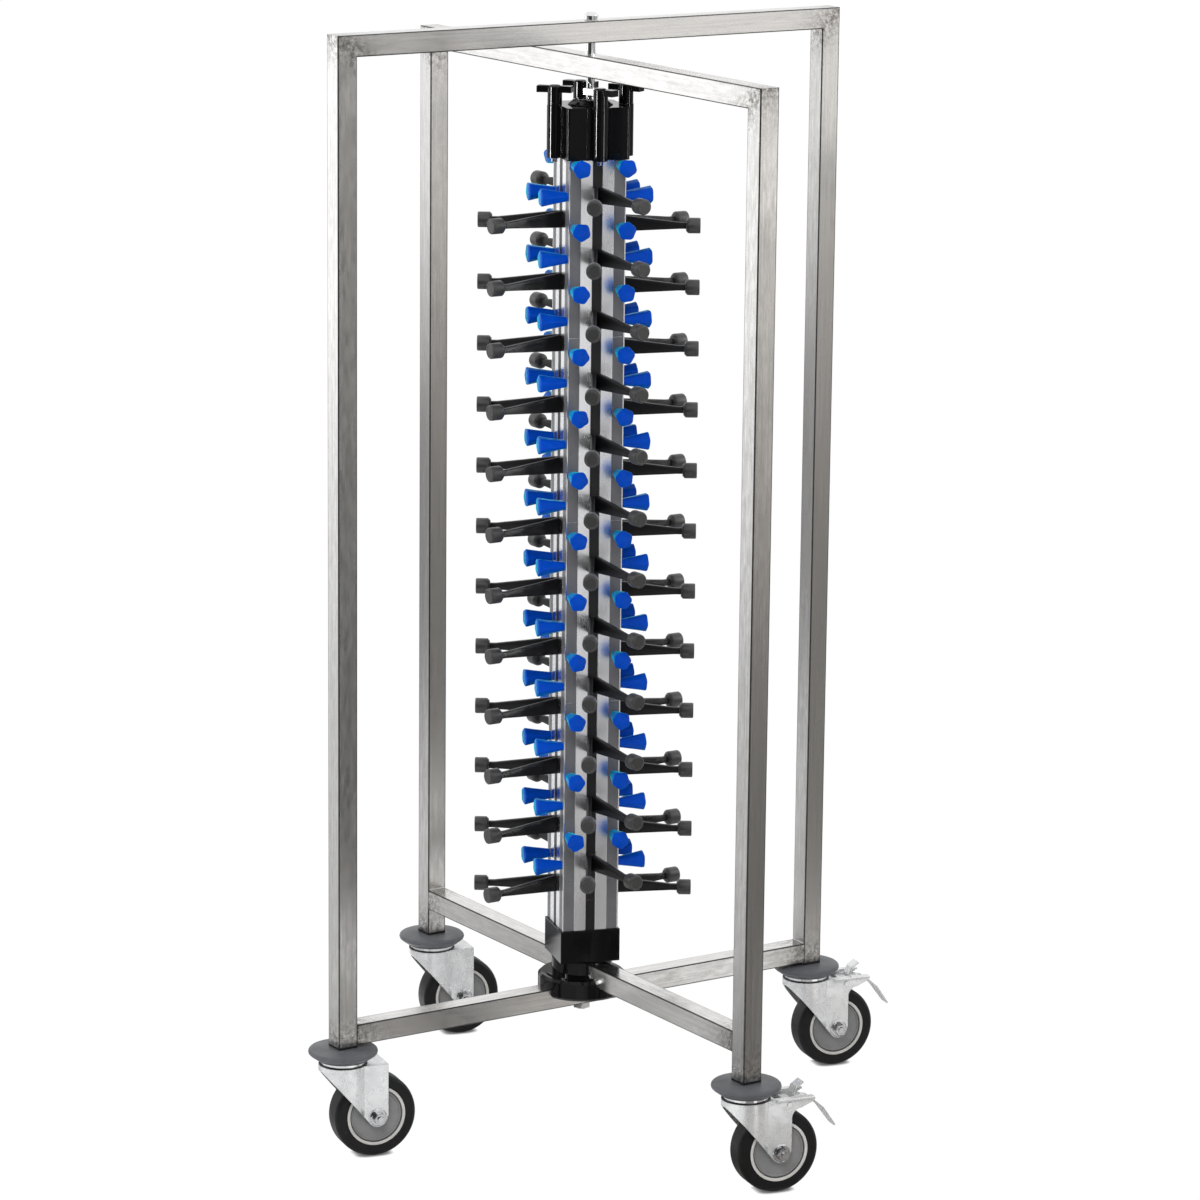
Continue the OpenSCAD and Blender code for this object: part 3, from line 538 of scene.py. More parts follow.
def brushed_steel(name, stretch):
    """Brushed stainless tube: streaks along the tube, cloudy patches and stains by the welds.

    Its corners have a thin painted dark line, a painted reflection of the dark that the bends of
    polished tube show round them.
    """
    material, tree, shader, place = new_material(name)
    grain = use(tree, BRUSHED_GRAIN, {
        "Vector": place, "Stretch": stretch, "Fine": 650.0, "Broad": 45.0,
    })
    base = blended(tree, ranged(tree, grain["Patches"], (0.34, 0.66)),
                   (0.70, 0.69, 0.675), (0.82, 0.815, 0.805))
    streaked = blended(tree, ranged(tree, grain["Streaks"], (0.4, 0.68), (0.0, 0.40)),
                       base, (0.48, 0.47, 0.46))
    mottle = noise(tree, place, 170.0, 5.0, 0.7)
    burnt = product(tree, painted_on(tree, "weld"), ranged(tree, mottle, (0.4, 0.6), (0.05, 1.0)))
    stained = blended(tree, burnt, streaked, (0.20, 0.185, 0.17))
    # Painted reflection: the corner layer darkens a thin line along each tube corner.
    dark = product(tree, painted_on(tree, "corner"), ranged(tree, mottle, (0.3, 0.7), (0.88, 1.0)))
    fill(tree, shader, {
        "Base Color": blended(tree, dark, stained, (0.05, 0.048, 0.046)),
        "Metallic": 1.0,
        "Roughness": ranged(tree, grain["Patches"], (0.34, 0.66), (0.26, 0.18)),
        "Normal": streak_bump(tree, grain["Streaks"], 0.00001, 0.4),
    })
    return material


def plated(name, tone, dull, rough, depth, metal=1.0,
           edge_tone=(0.95, 0.95, 0.96), edge_share=0.5, edge_radius=0.001):
    """Zinc or chrome plating: a bright metal with faint clouds and a little dust.

    The zinc's edges are painted dark, a painted reflection of the dark round a sharp bend in it;
    the chrome's edges are lighter.
    """
    material, tree, shader, place = new_material(name)
    clouds = noise(tree, place, 60.0, 6.0, 0.65)
    base = blended(tree, ranged(tree, clouds, (0.35, 0.68)), tone, dull)
    edge = use(tree, EDGE_ABRASION_AND_LIGHT, {"Vector": place, "Radius": edge_radius})["Mask"]
    edge_wear_and_painted_light = blended(tree, product(tree, edge, edge_share), base, edge_tone)
    dust = use(tree, DUST, {"Vector": place, "Amount": 0.12})["Mask"]
    fill(tree, shader, {
        "Base Color": blended(tree, dust, edge_wear_and_painted_light, METAL_DUST),
        "Metallic": metal,
        "Roughness": ranged(tree, clouds, (0.3, 0.7), rough),
        "Normal": use(tree, UNEVEN, {"Vector": place, "Scale": 90.0, "Depth": depth})["Normal"],
    })
    return material


def moulded(name, tone, edge_wear_and_painted_light, rough, grain, dust, edge_wear_and_light_share, specular=0.5, rim=0.0, rim_tone=WHITE):
    """Moulded plastic, paint or rubber: a fine surface grain, edges lightened partly by abrasion
    and partly as a painted highlight, and some dust.

    Grain is its scale and its depth. The rim is a soft sheen where the surface turns away.
    """
    material, tree, shader, place = new_material(name)
    clouds = noise(tree, place, 35.0, 5.0, 0.6)
    shade = tuple(0.82 * part for part in tone)
    base = blended(tree, ranged(tree, clouds, (0.35, 0.65)), tone, shade)
    edge = use(tree, EDGE_ABRASION_AND_LIGHT, {"Vector": place, "Radius": 0.001})["Mask"]
    abraded_and_lit_edges = blended(tree, product(tree, edge, edge_wear_and_light_share), base, edge_wear_and_painted_light)
    settled = use(tree, DUST, {"Vector": place, "Amount": dust})["Mask"]
    scale, depth = grain
    fill(tree, shader, {
        "Base Color": blended(tree, settled, abraded_and_lit_edges, PLASTIC_DUST),
        "Roughness": ranged(tree, clouds, (0.3, 0.7), rough),
        "Specular IOR Level": specular,
        "Sheen Weight": rim,
        "Sheen Roughness": 0.35,
        "Sheen Tint": opaque(rim_tone),
        "Normal": use(tree, UNEVEN, {"Vector": place, "Scale": scale, "Depth": depth})["Normal"],
    })
    return material


def extruded_aluminium():
    """Satin aluminium with fine die lines that run up the column."""
    material, tree, shader, place = new_material("Extruded aluminium")
    grain = use(tree, BRUSHED_GRAIN, {
        "Vector": place, "Stretch": (1.0, 1.0, 0.002), "Fine": 600.0, "Broad": 6.0,
    })
    base = blended(tree, ranged(tree, grain["Patches"], (0.3, 0.7)),
                   (0.84, 0.845, 0.86), (0.90, 0.90, 0.915))
    fill(tree, shader, {
        "Base Color": blended(tree, ranged(tree, grain["Streaks"], (0.4, 0.7), (0.0, 0.10)),
                              base, (0.60, 0.61, 0.63)),
        "Metallic": 1.0,
        "Roughness": ranged(tree, grain["Patches"], (0.3, 0.7), (0.22, 0.30)),
        "Normal": streak_bump(tree, grain["Streaks"], 0.000004, 0.3),
    })
    return material


STEEL_X = brushed_steel("Brushed steel along X", (0.012, 1.0, 1.0))
STEEL_Y = brushed_steel("Brushed steel along Y", (1.0, 0.012, 1.0))
STEEL_Z = brushed_steel("Brushed steel along Z", (1.0, 1.0, 0.012))
# ZINC and BRIGHT_ZINC get a dark edge tone: a painted reflection of the dark round their sharp
# bends.
ZINC = plated(
    "Zinc plate", tone=(0.90, 0.905, 0.91), dull=(0.76, 0.77, 0.78), rough=(0.20, 0.34),
    depth=0.00006, metal=0.65, edge_tone=(0.06, 0.06, 0.062), edge_share=0.9, edge_radius=0.0013,
)
BRIGHT_ZINC = plated(
    "Bright zinc bolts", tone=(0.86, 0.86, 0.87), dull=(0.60, 0.60, 0.61), rough=(0.10, 0.20),
    depth=0.00003, edge_tone=(0.05, 0.05, 0.052), edge_share=0.95, edge_radius=0.0012,
)
CHROME = plated(
    "Chrome plate", tone=(0.86, 0.87, 0.88), dull=(0.78, 0.79, 0.80), rough=(0.06, 0.14),
    depth=0.00001,
)
GLOSS_BLACK = moulded(
    "Gloss black", tone=(0.004, 0.004, 0.0045), edge_wear_and_painted_light=(0.02, 0.02, 0.022), rough=(0.07, 0.11),
    grain=(120.0, 0.00001), dust=0.01, edge_wear_and_light_share=0.2, specular=0.18,
)
# The light edge tones of the satin black and the cap rubber are partly abrasion and partly a
# painted highlight.
SATIN_BLACK = moulded(
    "Satin black coating", tone=(0.009, 0.009, 0.0095), edge_wear_and_painted_light=(0.16, 0.16, 0.165),
    rough=(0.30, 0.40), grain=(700.0, 0.00003), dust=0.03, edge_wear_and_light_share=0.7, specular=0.22,
)
CAP_RUBBER = moulded(
    "Cap rubber", tone=(0.024, 0.024, 0.0235), edge_wear_and_painted_light=(0.20, 0.20, 0.20), rough=(0.36, 0.50),
    grain=(1400.0, 0.00010), dust=0.05, edge_wear_and_light_share=0.7, specular=0.9, rim=0.15,
)
BUMPER_RUBBER = moulded(
    "Bumper rubber", tone=(0.120, 0.125, 0.137), edge_wear_and_painted_light=(0.18, 0.185, 0.195), rough=(0.38, 0.50),
    grain=(500.0, 0.00003), dust=0.05, edge_wear_and_light_share=0.3, specular=0.4,
)
TYRE_RUBBER = moulded(
    "Tyre rubber", tone=(0.008, 0.008, 0.0085), edge_wear_and_painted_light=(0.03, 0.03, 0.03), rough=(0.36, 0.52),
    grain=(600.0, 0.00005), dust=0.06, edge_wear_and_light_share=0.25, specular=0.25,
)
GREY_PLASTIC = moulded(
    "Wheel grey plastic", tone=(0.25, 0.25, 0.25), edge_wear_and_painted_light=(0.36, 0.36, 0.36), rough=(0.35, 0.5),
    grain=(900.0, 0.00005), dust=0.12, edge_wear_and_light_share=0.3,
)
RING_PLASTIC = moulded(
    "Guard ring plastic", tone=(0.68, 0.66, 0.63), edge_wear_and_painted_light=(0.8, 0.79, 0.77), rough=(0.35, 0.48),
    grain=(900.0, 0.00004), dust=0.1, edge_wear_and_light_share=0.3,
)
WHITE_PLASTIC = moulded(
    "White plastic", tone=(0.72, 0.72, 0.71), edge_wear_and_painted_light=(0.8, 0.8, 0.8), rough=(0.3, 0.42),
    grain=(800.0, 0.00003), dust=0.1, edge_wear_and_light_share=0.2,
)
BLACK_PLASTIC = moulded(
    "Black plastic", tone=(0.012, 0.012, 0.0125), edge_wear_and_painted_light=(0.05, 0.05, 0.05), rough=(0.3, 0.45),
    grain=(900.0, 0.00005), dust=0.05, edge_wear_and_light_share=0.3, specular=0.25,
)
STRIP_GREY = moulded(
    "Strip grey", tone=(0.150, 0.151, 0.160), edge_wear_and_painted_light=(0.26, 0.26, 0.27), rough=(0.28, 0.40),
    grain=(500.0, 0.00003), dust=0.08, edge_wear_and_light_share=0.3,
)
# The cyan edge tone of the blue stops is a painted highlight.
STOP_BLUE = moulded(
    "Stop blue plastic", tone=(0.0, 0.073, 0.590), edge_wear_and_painted_light=(0.02, 0.62, 1.0), rough=(0.20, 0.30),
    grain=(400.0, 0.00002), dust=0.0, edge_wear_and_light_share=0.9, specular=0.1, rim=1.0, rim_tone=(0.0, 0.75, 1.0),
)
ALUMINIUM = extruded_aluminium()


# The stand

def tube_outline():
    """Points round a tube's section: across, up, and 1 on a corner or 0 on a flat side."""
    outline = []
    straight = TUBE / 2 - TUBE_CORNER_R
    for corner in range(4):
        centre = math.radians(45 + 90 * corner)
        across = math.copysign(straight, math.cos(centre))
        up = math.copysign(straight, math.sin(centre))
        for step in range(-1, CORNER_STEPS + 2):
            held = min(max(step, 0), CORNER_STEPS)
            a = math.radians(90 * corner + 90 / CORNER_STEPS * held)
            slip = CORNER_LINE * ((step > CORNER_STEPS) - (step < 0))
            outline.append((
                across + TUBE_CORNER_R * math.cos(a) - slip * math.sin(a),
                up + TUBE_CORNER_R * math.sin(a) + slip * math.cos(a), float(step == held),
            ))
    return outline


def tube(node, axis, outward, mitres):
    """A rounded square tube in a node's place, with its weld stains.

    Outward is the axis and the sign of the side where a mitred tube is longest, and mitres say
    which of its two ends are mitred.
    """
    low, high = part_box(node)
    middle = (low + high) / 2
    u, v = [i for i in range(3) if i != axis]
    outline = tube_outline()
    bm = bmesh.new()
    stain = bm.verts.layers.float.new("weld")
    # The corner layer marks the tube's corners for the painted dark reflection along them.
    line = bm.verts.layers.float.new("corner")
    rows = [(low[axis], 1, mitres[0], offset) for offset in STAIN_ROWS]
    rows += [(high[axis], -1, mitres[1], offset) for offset in reversed(STAIN_ROWS)]
    rings = []
    for end, inward, mitre, offset in rows:
        ring = []
        for du, dv, on_corner in outline:
            side = (du if outward[0] == u else dv) * outward[1]
            cut = (TUBE / 2 - side) if mitre else 0.0
            point = list(middle)
            point[axis] = end + inward * (cut + offset)
            point[u] += du
            point[v] += dv
            vert = bm.verts.new(point)
            vert[stain] = max(0.0, 1.0 - offset / STAIN_REACH)
            vert[line] = on_corner
            ring.append(vert)
        rings.append(ring)
    piece = finished(node + "_tube", skin(bm, rings))
    keep_flat(piece)
    return dress(piece, (STEEL_X, STEEL_Y, STEEL_Z)[axis], "stainless", "stand", node)


tube("outer_top_bar", X, (Z, 1), (True, True))
tube("outer_bottom_bar", X, (Z, 1), (False, False))
tube("outer_left_upright", Z, (X, -1), (False, True))
tube("outer_right_upright", Z, (X, 1), (False, True))
tube("inner_top_bar", Y, (Z, 1), (True, True))
tube("inner_bottom_bar", Y, (Z, 1), (False, False))
tube("inner_front_upright", Z, (Y, -1), (False, True))
tube("inner_back_upright", Z, (Y, 1), (False, True))


def soft_copy(node, finish, slot, edge, segments=2, angle=32.0, smooth=35.0):
    """A CAD part with its edges rounded to the radius given, standing for its node."""
    piece = finished(node + "_soft", copy_of(node), smooth)
    soften(piece, edge, segments, angle)
    return dress(piece, finish, slot, nodes[node]["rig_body"], node)


soft_copy("hub", GLOSS_BLACK, "gloss_black", edge=0.0015, segments=3)
soft_copy("base_sleeve", GLOSS_BLACK, "gloss_black", edge=0.0012, segments=3)
soft_copy("head", GLOSS_BLACK, "gloss_black", edge=0.0018, segments=3)
soft_copy("head_collar", GLOSS_BLACK, "gloss_black", edge=0.0006)
soft_copy("thrust_washer", WHITE_PLASTIC, "white_plastic", edge=0.0003)
soft_copy("pivot_bolt", BRIGHT_ZINC, "zinc", edge=0.0005)
soft_copy("top_rod", CHROME, "chrome", edge=0.0005)
soft_copy("top_rod_nut", CHROME, "chrome", edge=0.0008, segments=3, angle=20.0)
soft_copy("tube_plugs", BLACK_PLASTIC, "black_plastic", edge=0.0006)
soft_copy("column_profile", ALUMINIUM, "aluminium", edge=0.0004)
soft_copy("stop_strips", STRIP_GREY, "grey_strip", edge=0.0003)
soft_copy("caster_bumpers", BUMPER_RUBBER, "grey_rubber", edge=0.0008, angle=50.0, smooth=50.0)
soft_copy("caster_stems", CHROME, "chrome", edge=0.0005)
for side in SIDES:
    soft_copy(side + "_arm_rail", SATIN_BLACK, "black_plastic", edge=0.0005)
    soft_copy(side + "_knob", GLOSS_BLACK, "gloss_black", edge=0.0012, segments=3)
    soft_copy(side + "_lead_screw", BRIGHT_ZINC, "zinc", edge=0.0003)
    soft_copy(side + "_caster_fork", ZINC, "zinc", edge=0.0005)
    soft_copy(side + "_caster_axle", BRIGHT_ZINC, "zinc", edge=0.0004)
    soft_copy(side + "_caster_tyre", TYRE_RUBBER, "tyre", edge=0.0006, angle=50.0, smooth=50.0)
soft_copy("front_brake_pedal", ZINC, "zinc", edge=0.0005)
soft_copy("right_brake_pedal", ZINC, "zinc", edge=0.0005)


# The plate stops, arms and caps

TIER_TREE = tier_tree()


def stop_mesh():
    """One stop: a plug that widens evenly, with five soft lobes and a bevelled end."""
    around = 6 * STOP_LOBES
    stations = (
        (0.0, STOP_ROOT_R), (0.3, 0.7 * STOP_ROOT_R + 0.3 * STOP_END_R),
        (0.65, 0.35 * STOP_ROOT_R + 0.65 * STOP_END_R), (0.955, STOP_END_R),
        (0.985, STOP_END_R - 0.0002), (1.0, STOP_END_R - 0.0009),
    )
    bm = bmesh.new()
    rings = []
    for share, radius in stations:
        ring = []
        for i in range(around):
            a = 2 * math.pi * i / around
            lobed = radius * (1 + STOP_LOBE_DEPTH * math.cos(STOP_LOBES * a))
            ring.append(bm.verts.new((share * STOP_LEN, lobed * math.cos(a), lobed * math.sin(a))))
        rings.append(ring)
    return skin(bm, rings)


def stack(name, bm, side, foot, finish, roll=0.0, seed=0):
    """A part repeated up one side of the column, at the foot given on that side."""
    place = side_matrix(side) @ Vector(foot)
    return grown(finished(name, bm, 50.0), TIER_TREE, {
        "Tiers": TIERS, "Pitch": PITCH, "Foot": tuple(place),
        "Turn": COLUMN_TURN + SIDE_TURNS[side], "Roll": roll, "Seed": seed, "Finish": finish,
    })


stops = []
for number, side in enumerate(SIDES):
    for hand in (-1, 1):
        foot = (COLUMN_W / 2, hand * STOP_SIDE, FIRST_STOP - SIDE_DROPS[side])
        seed = 10 * number + hand
        stops.append(stack("stop", stop_mesh(), side, foot, STOP_BLUE, STOP_ROLL, seed))
dress(join_meshes("flared_stops", stops), None, "blue_plastic", "column", "plate_stops")


def at_arm(bm, hand, place=Matrix()):
    """Lays a mesh along one arm of a pair."""
    shift = hand * (ARM_T / 2 / math.cos(ARM_ANGLE) + HALF_ARM_GAP)
    turn = Matrix.Translation((0, shift, 0)) @ Matrix.Rotation(hand * ARM_ANGLE, 4, "Z")
    bmesh.ops.transform(bm, verts=bm.verts, matrix=turn @ place)
    return bm


def arm_mesh(hand):
    """One support arm: a flat bar that tapers to an even neck, with rounded edges."""
    heel, root = -0.001, 0.002
    neck = ARM_REACH - CAP_LEN - ARM_NECK
    end = ARM_REACH - CAP_LEN + 0.004
    tip = ARM_TIP_H / 2
    top = ARM_ROOT_H / 2 + ARM_LIFT
    bottom = ARM_LIFT - ARM_ROOT_H / 2
    outline = (
        (heel, bottom), (root, bottom), (neck, -tip), (end, -tip),
        (end, tip), (neck, tip), (root, top), (heel, top),
    )
    bm = bmesh.new()
    skin(bm, [[bm.verts.new((x, y, z)) for x, z in outline] for y in (-ARM_T / 2, ARM_T / 2)])
    outer = [edge for edge in bm.edges if abs(edge.verts[0].co.y - edge.verts[1].co.y) < 1e-6]
    bmesh.ops.bevel(bm, geom=outer, offset=ARM_EDGE_R, segments=2, profile=0.5,
                    affect="EDGES", clamp_overlap=True)
    return at_arm(bm, hand)


def cap_mesh(hand):
    """One rubber cap: a slanted shoulder behind, a plain barrel and a ringed flat end."""
    profile = [
        (0.0, 0.0), (CAP_R - 0.0030, 0.0), (CAP_R - 0.0024, 0.0003), (CAP_R - 0.0002, 0.0025),
        (CAP_R, 0.0030), (CAP_R, CAP_LEN - 0.0012), (CAP_R - 0.0003, CAP_LEN - 0.0004),
        (CAP_R - 0.0011, CAP_LEN), (CAP_R - 0.0017, CAP_LEN), (CAP_R - 0.0019, CAP_LEN - 0.0005),
        (CAP_R - 0.0024, CAP_LEN - 0.0005), (CAP_R - 0.0026, CAP_LEN - 0.0001),
        (0.0, CAP_LEN - 0.0001),
    ]
    lay = Matrix.Translation((ARM_REACH - CAP_LEN, 0, 0)) @ Matrix.Rotation(math.pi / 2, 4, "Y")
    return at_arm(lathe(profile, 28, closed=False), hand, lay)


for side in SIDES:
    foot = (ARM_ROOT_X, 0.0, FIRST_STOP - SIDE_DROPS[side] - SPACINGS[side])
    arms = [stack("arm", arm_mesh(hand), side, foot, SATIN_BLACK) for hand in (-1, 1)]
    dress(join_meshes(side + "_arms", arms), None, "black_plastic", side + "_rail",
          side + "_support_arms")
    caps = [stack("cap", cap_mesh(hand), side, foot, CAP_RUBBER) for hand in (-1, 1)]
    dress(join_meshes(side + "_caps", caps), None, "dark_rubber", side + "_rail",
          side + "_arm_caps")


# The wheels and the small parts of the casters, as profiles of (radius, height)

WHEEL_CORE = [
    (0.0041, 0.0192), (0.0100, 0.0192), (0.0104, 0.0188), (0.0104, 0.0140), (0.0112, 0.0134),
    (0.0285, 0.0136), (0.0296, 0.0149), (0.0306, 0.0150), (0.0310, 0.0146), (0.0310, 0.0120),
    (0.0325, 0.0120), (0.0325, 0.0150), (0.0360, 0.0150),
]
GUARD_RING = [
    (0.0325, 0.0149), (0.0325, 0.0160), (0.0329, 0.0164), (0.0354, 0.0164),
    (0.0359, 0.0160), (0.0359, 0.0149),
]
NUT_CUP = [
    (0.0045, 0.0221), (0.0045, 0.0226), (0.0092, 0.0226), (0.0096, 0.0236),
    (0.0103, 0.0239), (0.0108, 0.0234), (0.0110, 0.0221),
]
RACE_SEAL = [
    (0.0262, RACE_Z - 0.0004), (0.0284, RACE_Z - 0.0004), (0.0288, RACE_Z + 0.0002),
    (0.0286, RACE_Z + 0.0010), (0.0262, RACE_Z + 0.0010),
]


def flipped(profile, hand):
    """A wheel's profile on its one face or, with a hand of minus one, on its other."""
    return [(radius, hand * height) for radius, height in profile]


def turned(name, profile, segments, place, smooth):
    """A turned piece laid in its place."""
    bm = lathe(profile, segments)
    bmesh.ops.transform(bm, verts=bm.verts, matrix=place)
    return finished(name, bm, smooth)


def on_both_faces(name, profile, segments, side, finish, smooth):
    """A turned piece on either face of a wheel, in one mesh."""
    meshes = []
    for hand in (-1, 1):
        piece = turned("one", flipped(profile, hand), segments, wheel_matrix(side), smooth)
        piece.data.materials.append(finish)
        meshes.append(plain(piece))
    return join_meshes(name, meshes)


for side in SIDES:
    both = WHEEL_CORE + flipped(WHEEL_CORE[::-1], -1)
    core = turned(side + "_wheel_core", both, 72, wheel_matrix(side), 28.0)
    dress(core, GREY_PLASTIC, "grey_plastic", side + "_wheel", side + "_caster_wheel")
    rings = on_both_faces(side + "_guard_rings", GUARD_RING, 72, side, RING_PLASTIC, 50.0)
    dress(rings, None, "grey_plastic", side + "_wheel")
    cups = on_both_faces(side + "_nut_cups", NUT_CUP, 40, side, CHROME, 40.0)
    dress(cups, None, "chrome", side + "_caster")
    seal = turned(side + "_race_seal", RACE_SEAL, 64, caster_matrix(side), 50.0)
    dress(seal, BLACK_PLASTIC, "black_plastic", "stand")


# Rivets by the feet of the uprights and weld beads where the bottom bars meet them

POINT_TREE = point_tree()


def dots(name, places):
    """A mesh of loose points, each with the direction that a part on it stands in."""
    mesh = bpy.data.meshes.new(name)
    mesh.from_pydata([place for place, outward in places], [], [])
    layer = mesh.attributes.new("outward", "FLOAT_VECTOR", "POINT")
    for i, (place, outward) in enumerate(places):
        layer.data[i].vector = outward
    return added(name, mesh)


def spread(name, places, part, finish):
    """One piece of a small part set on every place."""
    mesh = grown(dots("dots", places), POINT_TREE, {"Part": part, "Finish": finish})
    bpy.data.objects.remove(part)
    return join_meshes(name, [mesh])


def rivet():
    """A low round rivet head, with its rim just under the surface."""
    profile = [
        (0.0, -0.0003), (0.0017, -0.0003), (0.0017, 0.0001), (0.0014, 0.0004), (0.0008, 0.0006),
        (0.0, 0.0007),
    ]
    return finished("rivet", lathe(profile, 16, closed=False), 60.0)


def weld_bead():
    """One drop of weld."""
    bm = bmesh.new()
    bmesh.ops.create_uvsphere(bm, u_segments=8, v_segments=5, radius=BEAD_R)
    return finished("bead", bm, 180.0)


rivet_places = []
for node in UPRIGHTS:
    low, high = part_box(node)
    middle = (low + high) / 2
    for step in (-RIVET_STEP, RIVET_STEP):
        if node.startswith("outer"):
            rivet_places.append(((middle.x + step, low.y, RIVET_Z), (0, -1, 0)))
        else:
            rivet_places.append(((low.x, middle.y + step, RIVET_Z), (-1, 0, 0)))
dress(spread("foot_rivets", rivet_places, rivet(), BRIGHT_ZINC), None, "zinc", "stand")

bead_places = []
for node, axis in (("outer_bottom_bar", X), ("inner_bottom_bar", Y)):
    low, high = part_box(node)
    for end in (low[axis], high[axis]):
        for edge_z in (low.z - 0.0002, high.z + 0.0002):
            for i in range(BEADS):
                along = -TUBE / 2 + FIRST_BEAD + i * BEAD_STEP
                place = [along, along, edge_z]
                place[axis] = end - math.copysign(0.0004, end)
                bead_places.append((tuple(place), (0, 0, 1)))
dress(spread("weld_beads", bead_places, weld_bead(), STEEL_Z), None, "stainless", "stand")


# The studio

def camera():
    """The photograph's camera, which looks at the cart from in front and a little to the left."""
    flat = math.cos(CAMERA_RISE)
    back = Vector((math.sin(CAMERA_TURN) * flat, -math.cos(CAMERA_TURN) * flat,
                   math.sin(CAMERA_RISE)))
    right = Vector((math.cos(CAMERA_TURN), math.sin(CAMERA_TURN), 0))
    up = back.cross(right)
    place = (Vector((0, 0, AIM_Z)) + back * CAMERA_DISTANCE + right * CAMERA_SLIDE
             + up * CAMERA_LIFT)
    x = math.cos(CAMERA_ROLL) * right + math.sin(CAMERA_ROLL) * up
    y = -math.sin(CAMERA_ROLL) * right + math.cos(CAMERA_ROLL) * up
    data = bpy.data.cameras.new("Camera")
    data.sensor_width = SENSOR
    data.lens = FOCAL / PHOTO_SIZE * SENSOR
    data.shift_x = -(CENTRE[0] - PHOTO_SIZE / 2) / PHOTO_SIZE
    data.shift_y = (CENTRE[1] - PHOTO_SIZE / 2) / PHOTO_SIZE
    data.clip_end = 60.0
    item = added("Camera", data)
    item.matrix_world = Matrix((
        (x.x, y.x, back.x, place.x), (x.y, y.y, back.y, place.y),
        (x.z, y.z, back.z, place.z), (0, 0, 0, 1),
    ))
    bpy.context.scene.camera = item


def lamp(name, place, aim_z, width, height, power):
    """A soft lamp that is turned to a height on the axis of the column."""
    data = bpy.data.lights.new(name, "AREA")
    data.shape = "RECTANGLE"
    data.size = width
    data.size_y = height
    data.energy = power
    item = added(name, data)
    item.location = place
    aim = Vector((0, 0, aim_z)) - Vector(place)
    item.rotation_euler = aim.to_track_quat("-Z", "Y").to_euler()
    return item


def shown_white(tree):
    """1 for a ray from the camera, or one that a glossy or clear surface sends on."""
    path = put(tree, "ShaderNodeLightPath").outputs
    some = put(tree, "ShaderNodeMath", {0: path["Is Camera Ray"], 1: path["Is Glossy Ray"]},
               operation="MAXIMUM")
    every = put(tree, "ShaderNodeMath", {0: some.outputs[0], 1: path["Is Transmission Ray"]},
                operation="MAXIMUM")
    return every.outputs[0]


def world_light():
    """An even light from all round, which shows as plain white."""
    world = bpy.data.worlds.new("Studio")
    bpy.context.scene.world = world
    world.use_nodes = True
    tree = world.node_tree
    fill(tree, tree.nodes["Background"], {
        "Color": opaque(WHITE),
        "Strength": ranged(tree, shown_white(tree), (0.0, 1.0), (WORLD_LIGHT, 1.0)),
    })


def studio_floor():
    """A pale floor that shows as white, with a painted contact shadow kept close round each piece
    that touches it.
    """
    bm = bmesh.new()
    bmesh.ops.create_grid(bm, x_segments=1, y_segments=1, size=FLOOR_REACH)
    floor = finished("floor", bm)
    material, tree, shader, _ = new_material("Floor")
    fill(tree, shader, {
        "Base Color": (0.86, 0.86, 0.86, 1.0), "Roughness": 0.9, "Specular IOR Level": 0.1,
    })
    # Painted contact shadow: ambient occlusion dims the floor's glow close to a touching piece.
    painted_contact_shadow = put(tree, "ShaderNodeAmbientOcclusion", {"Distance": 0.006}, samples=8)
    glow = put(tree, "ShaderNodeEmission", {
        "Color": opaque(WHITE),
        "Strength": ranged(tree, painted_contact_shadow.outputs["AO"], (0.3, 0.9), (0.15, 1.03)),
    })
    seen = put(tree, "ShaderNodeLightPath").outputs["Is Camera Ray"]
    mixed = put(tree, "ShaderNodeMixShader", {
        0: product(tree, seen, 0.96), 1: shader.outputs[0], 2: glow.outputs[0],
    })
    fill(tree, tree.nodes["Material Output"], {"Surface": mixed.outputs[0]})
    floor.data.materials.append(material)


def studio_lamps():
    """Three soft lamps, and two narrow ones that only light the shiny black parts.

    A narrow lamp draws the long highlights on the black head, and would burn out bright metal.
    """
    lamp("Key", (-2.6, -3.0, 3.4), 0.7, 2.2, 2.2, 100).visible_glossy = False
    lamp("Fill right", (3.2, -2.4, 2.4), 0.7, 2.0, 2.0, 30)
    lamp("Rim left", (-2.8, 1.8, 1.6), 0.7, 1.2, 1.2, 45).visible_glossy = False
    blacks = bpy.data.collections.new("Shiny black parts")
    for item in list(bpy.data.objects):
        if item.type == "MESH" and item.data.materials:
            if item.data.materials[0] in (GLOSS_BLACK, SATIN_BLACK):
                blacks.objects.link(item)
    for name, place, width, power in (
        ("Strip left", (-1.3, 0.07, 0.85), 0.16, 120),
        ("Strip right", (0.53, -1.19, 0.85), 0.08, 14),
    ):
        strip = lamp(name, place, 0.85, width, 1.6, power)
        strip.visible_diffuse = False
        strip.light_linking.receiver_collection = blacks


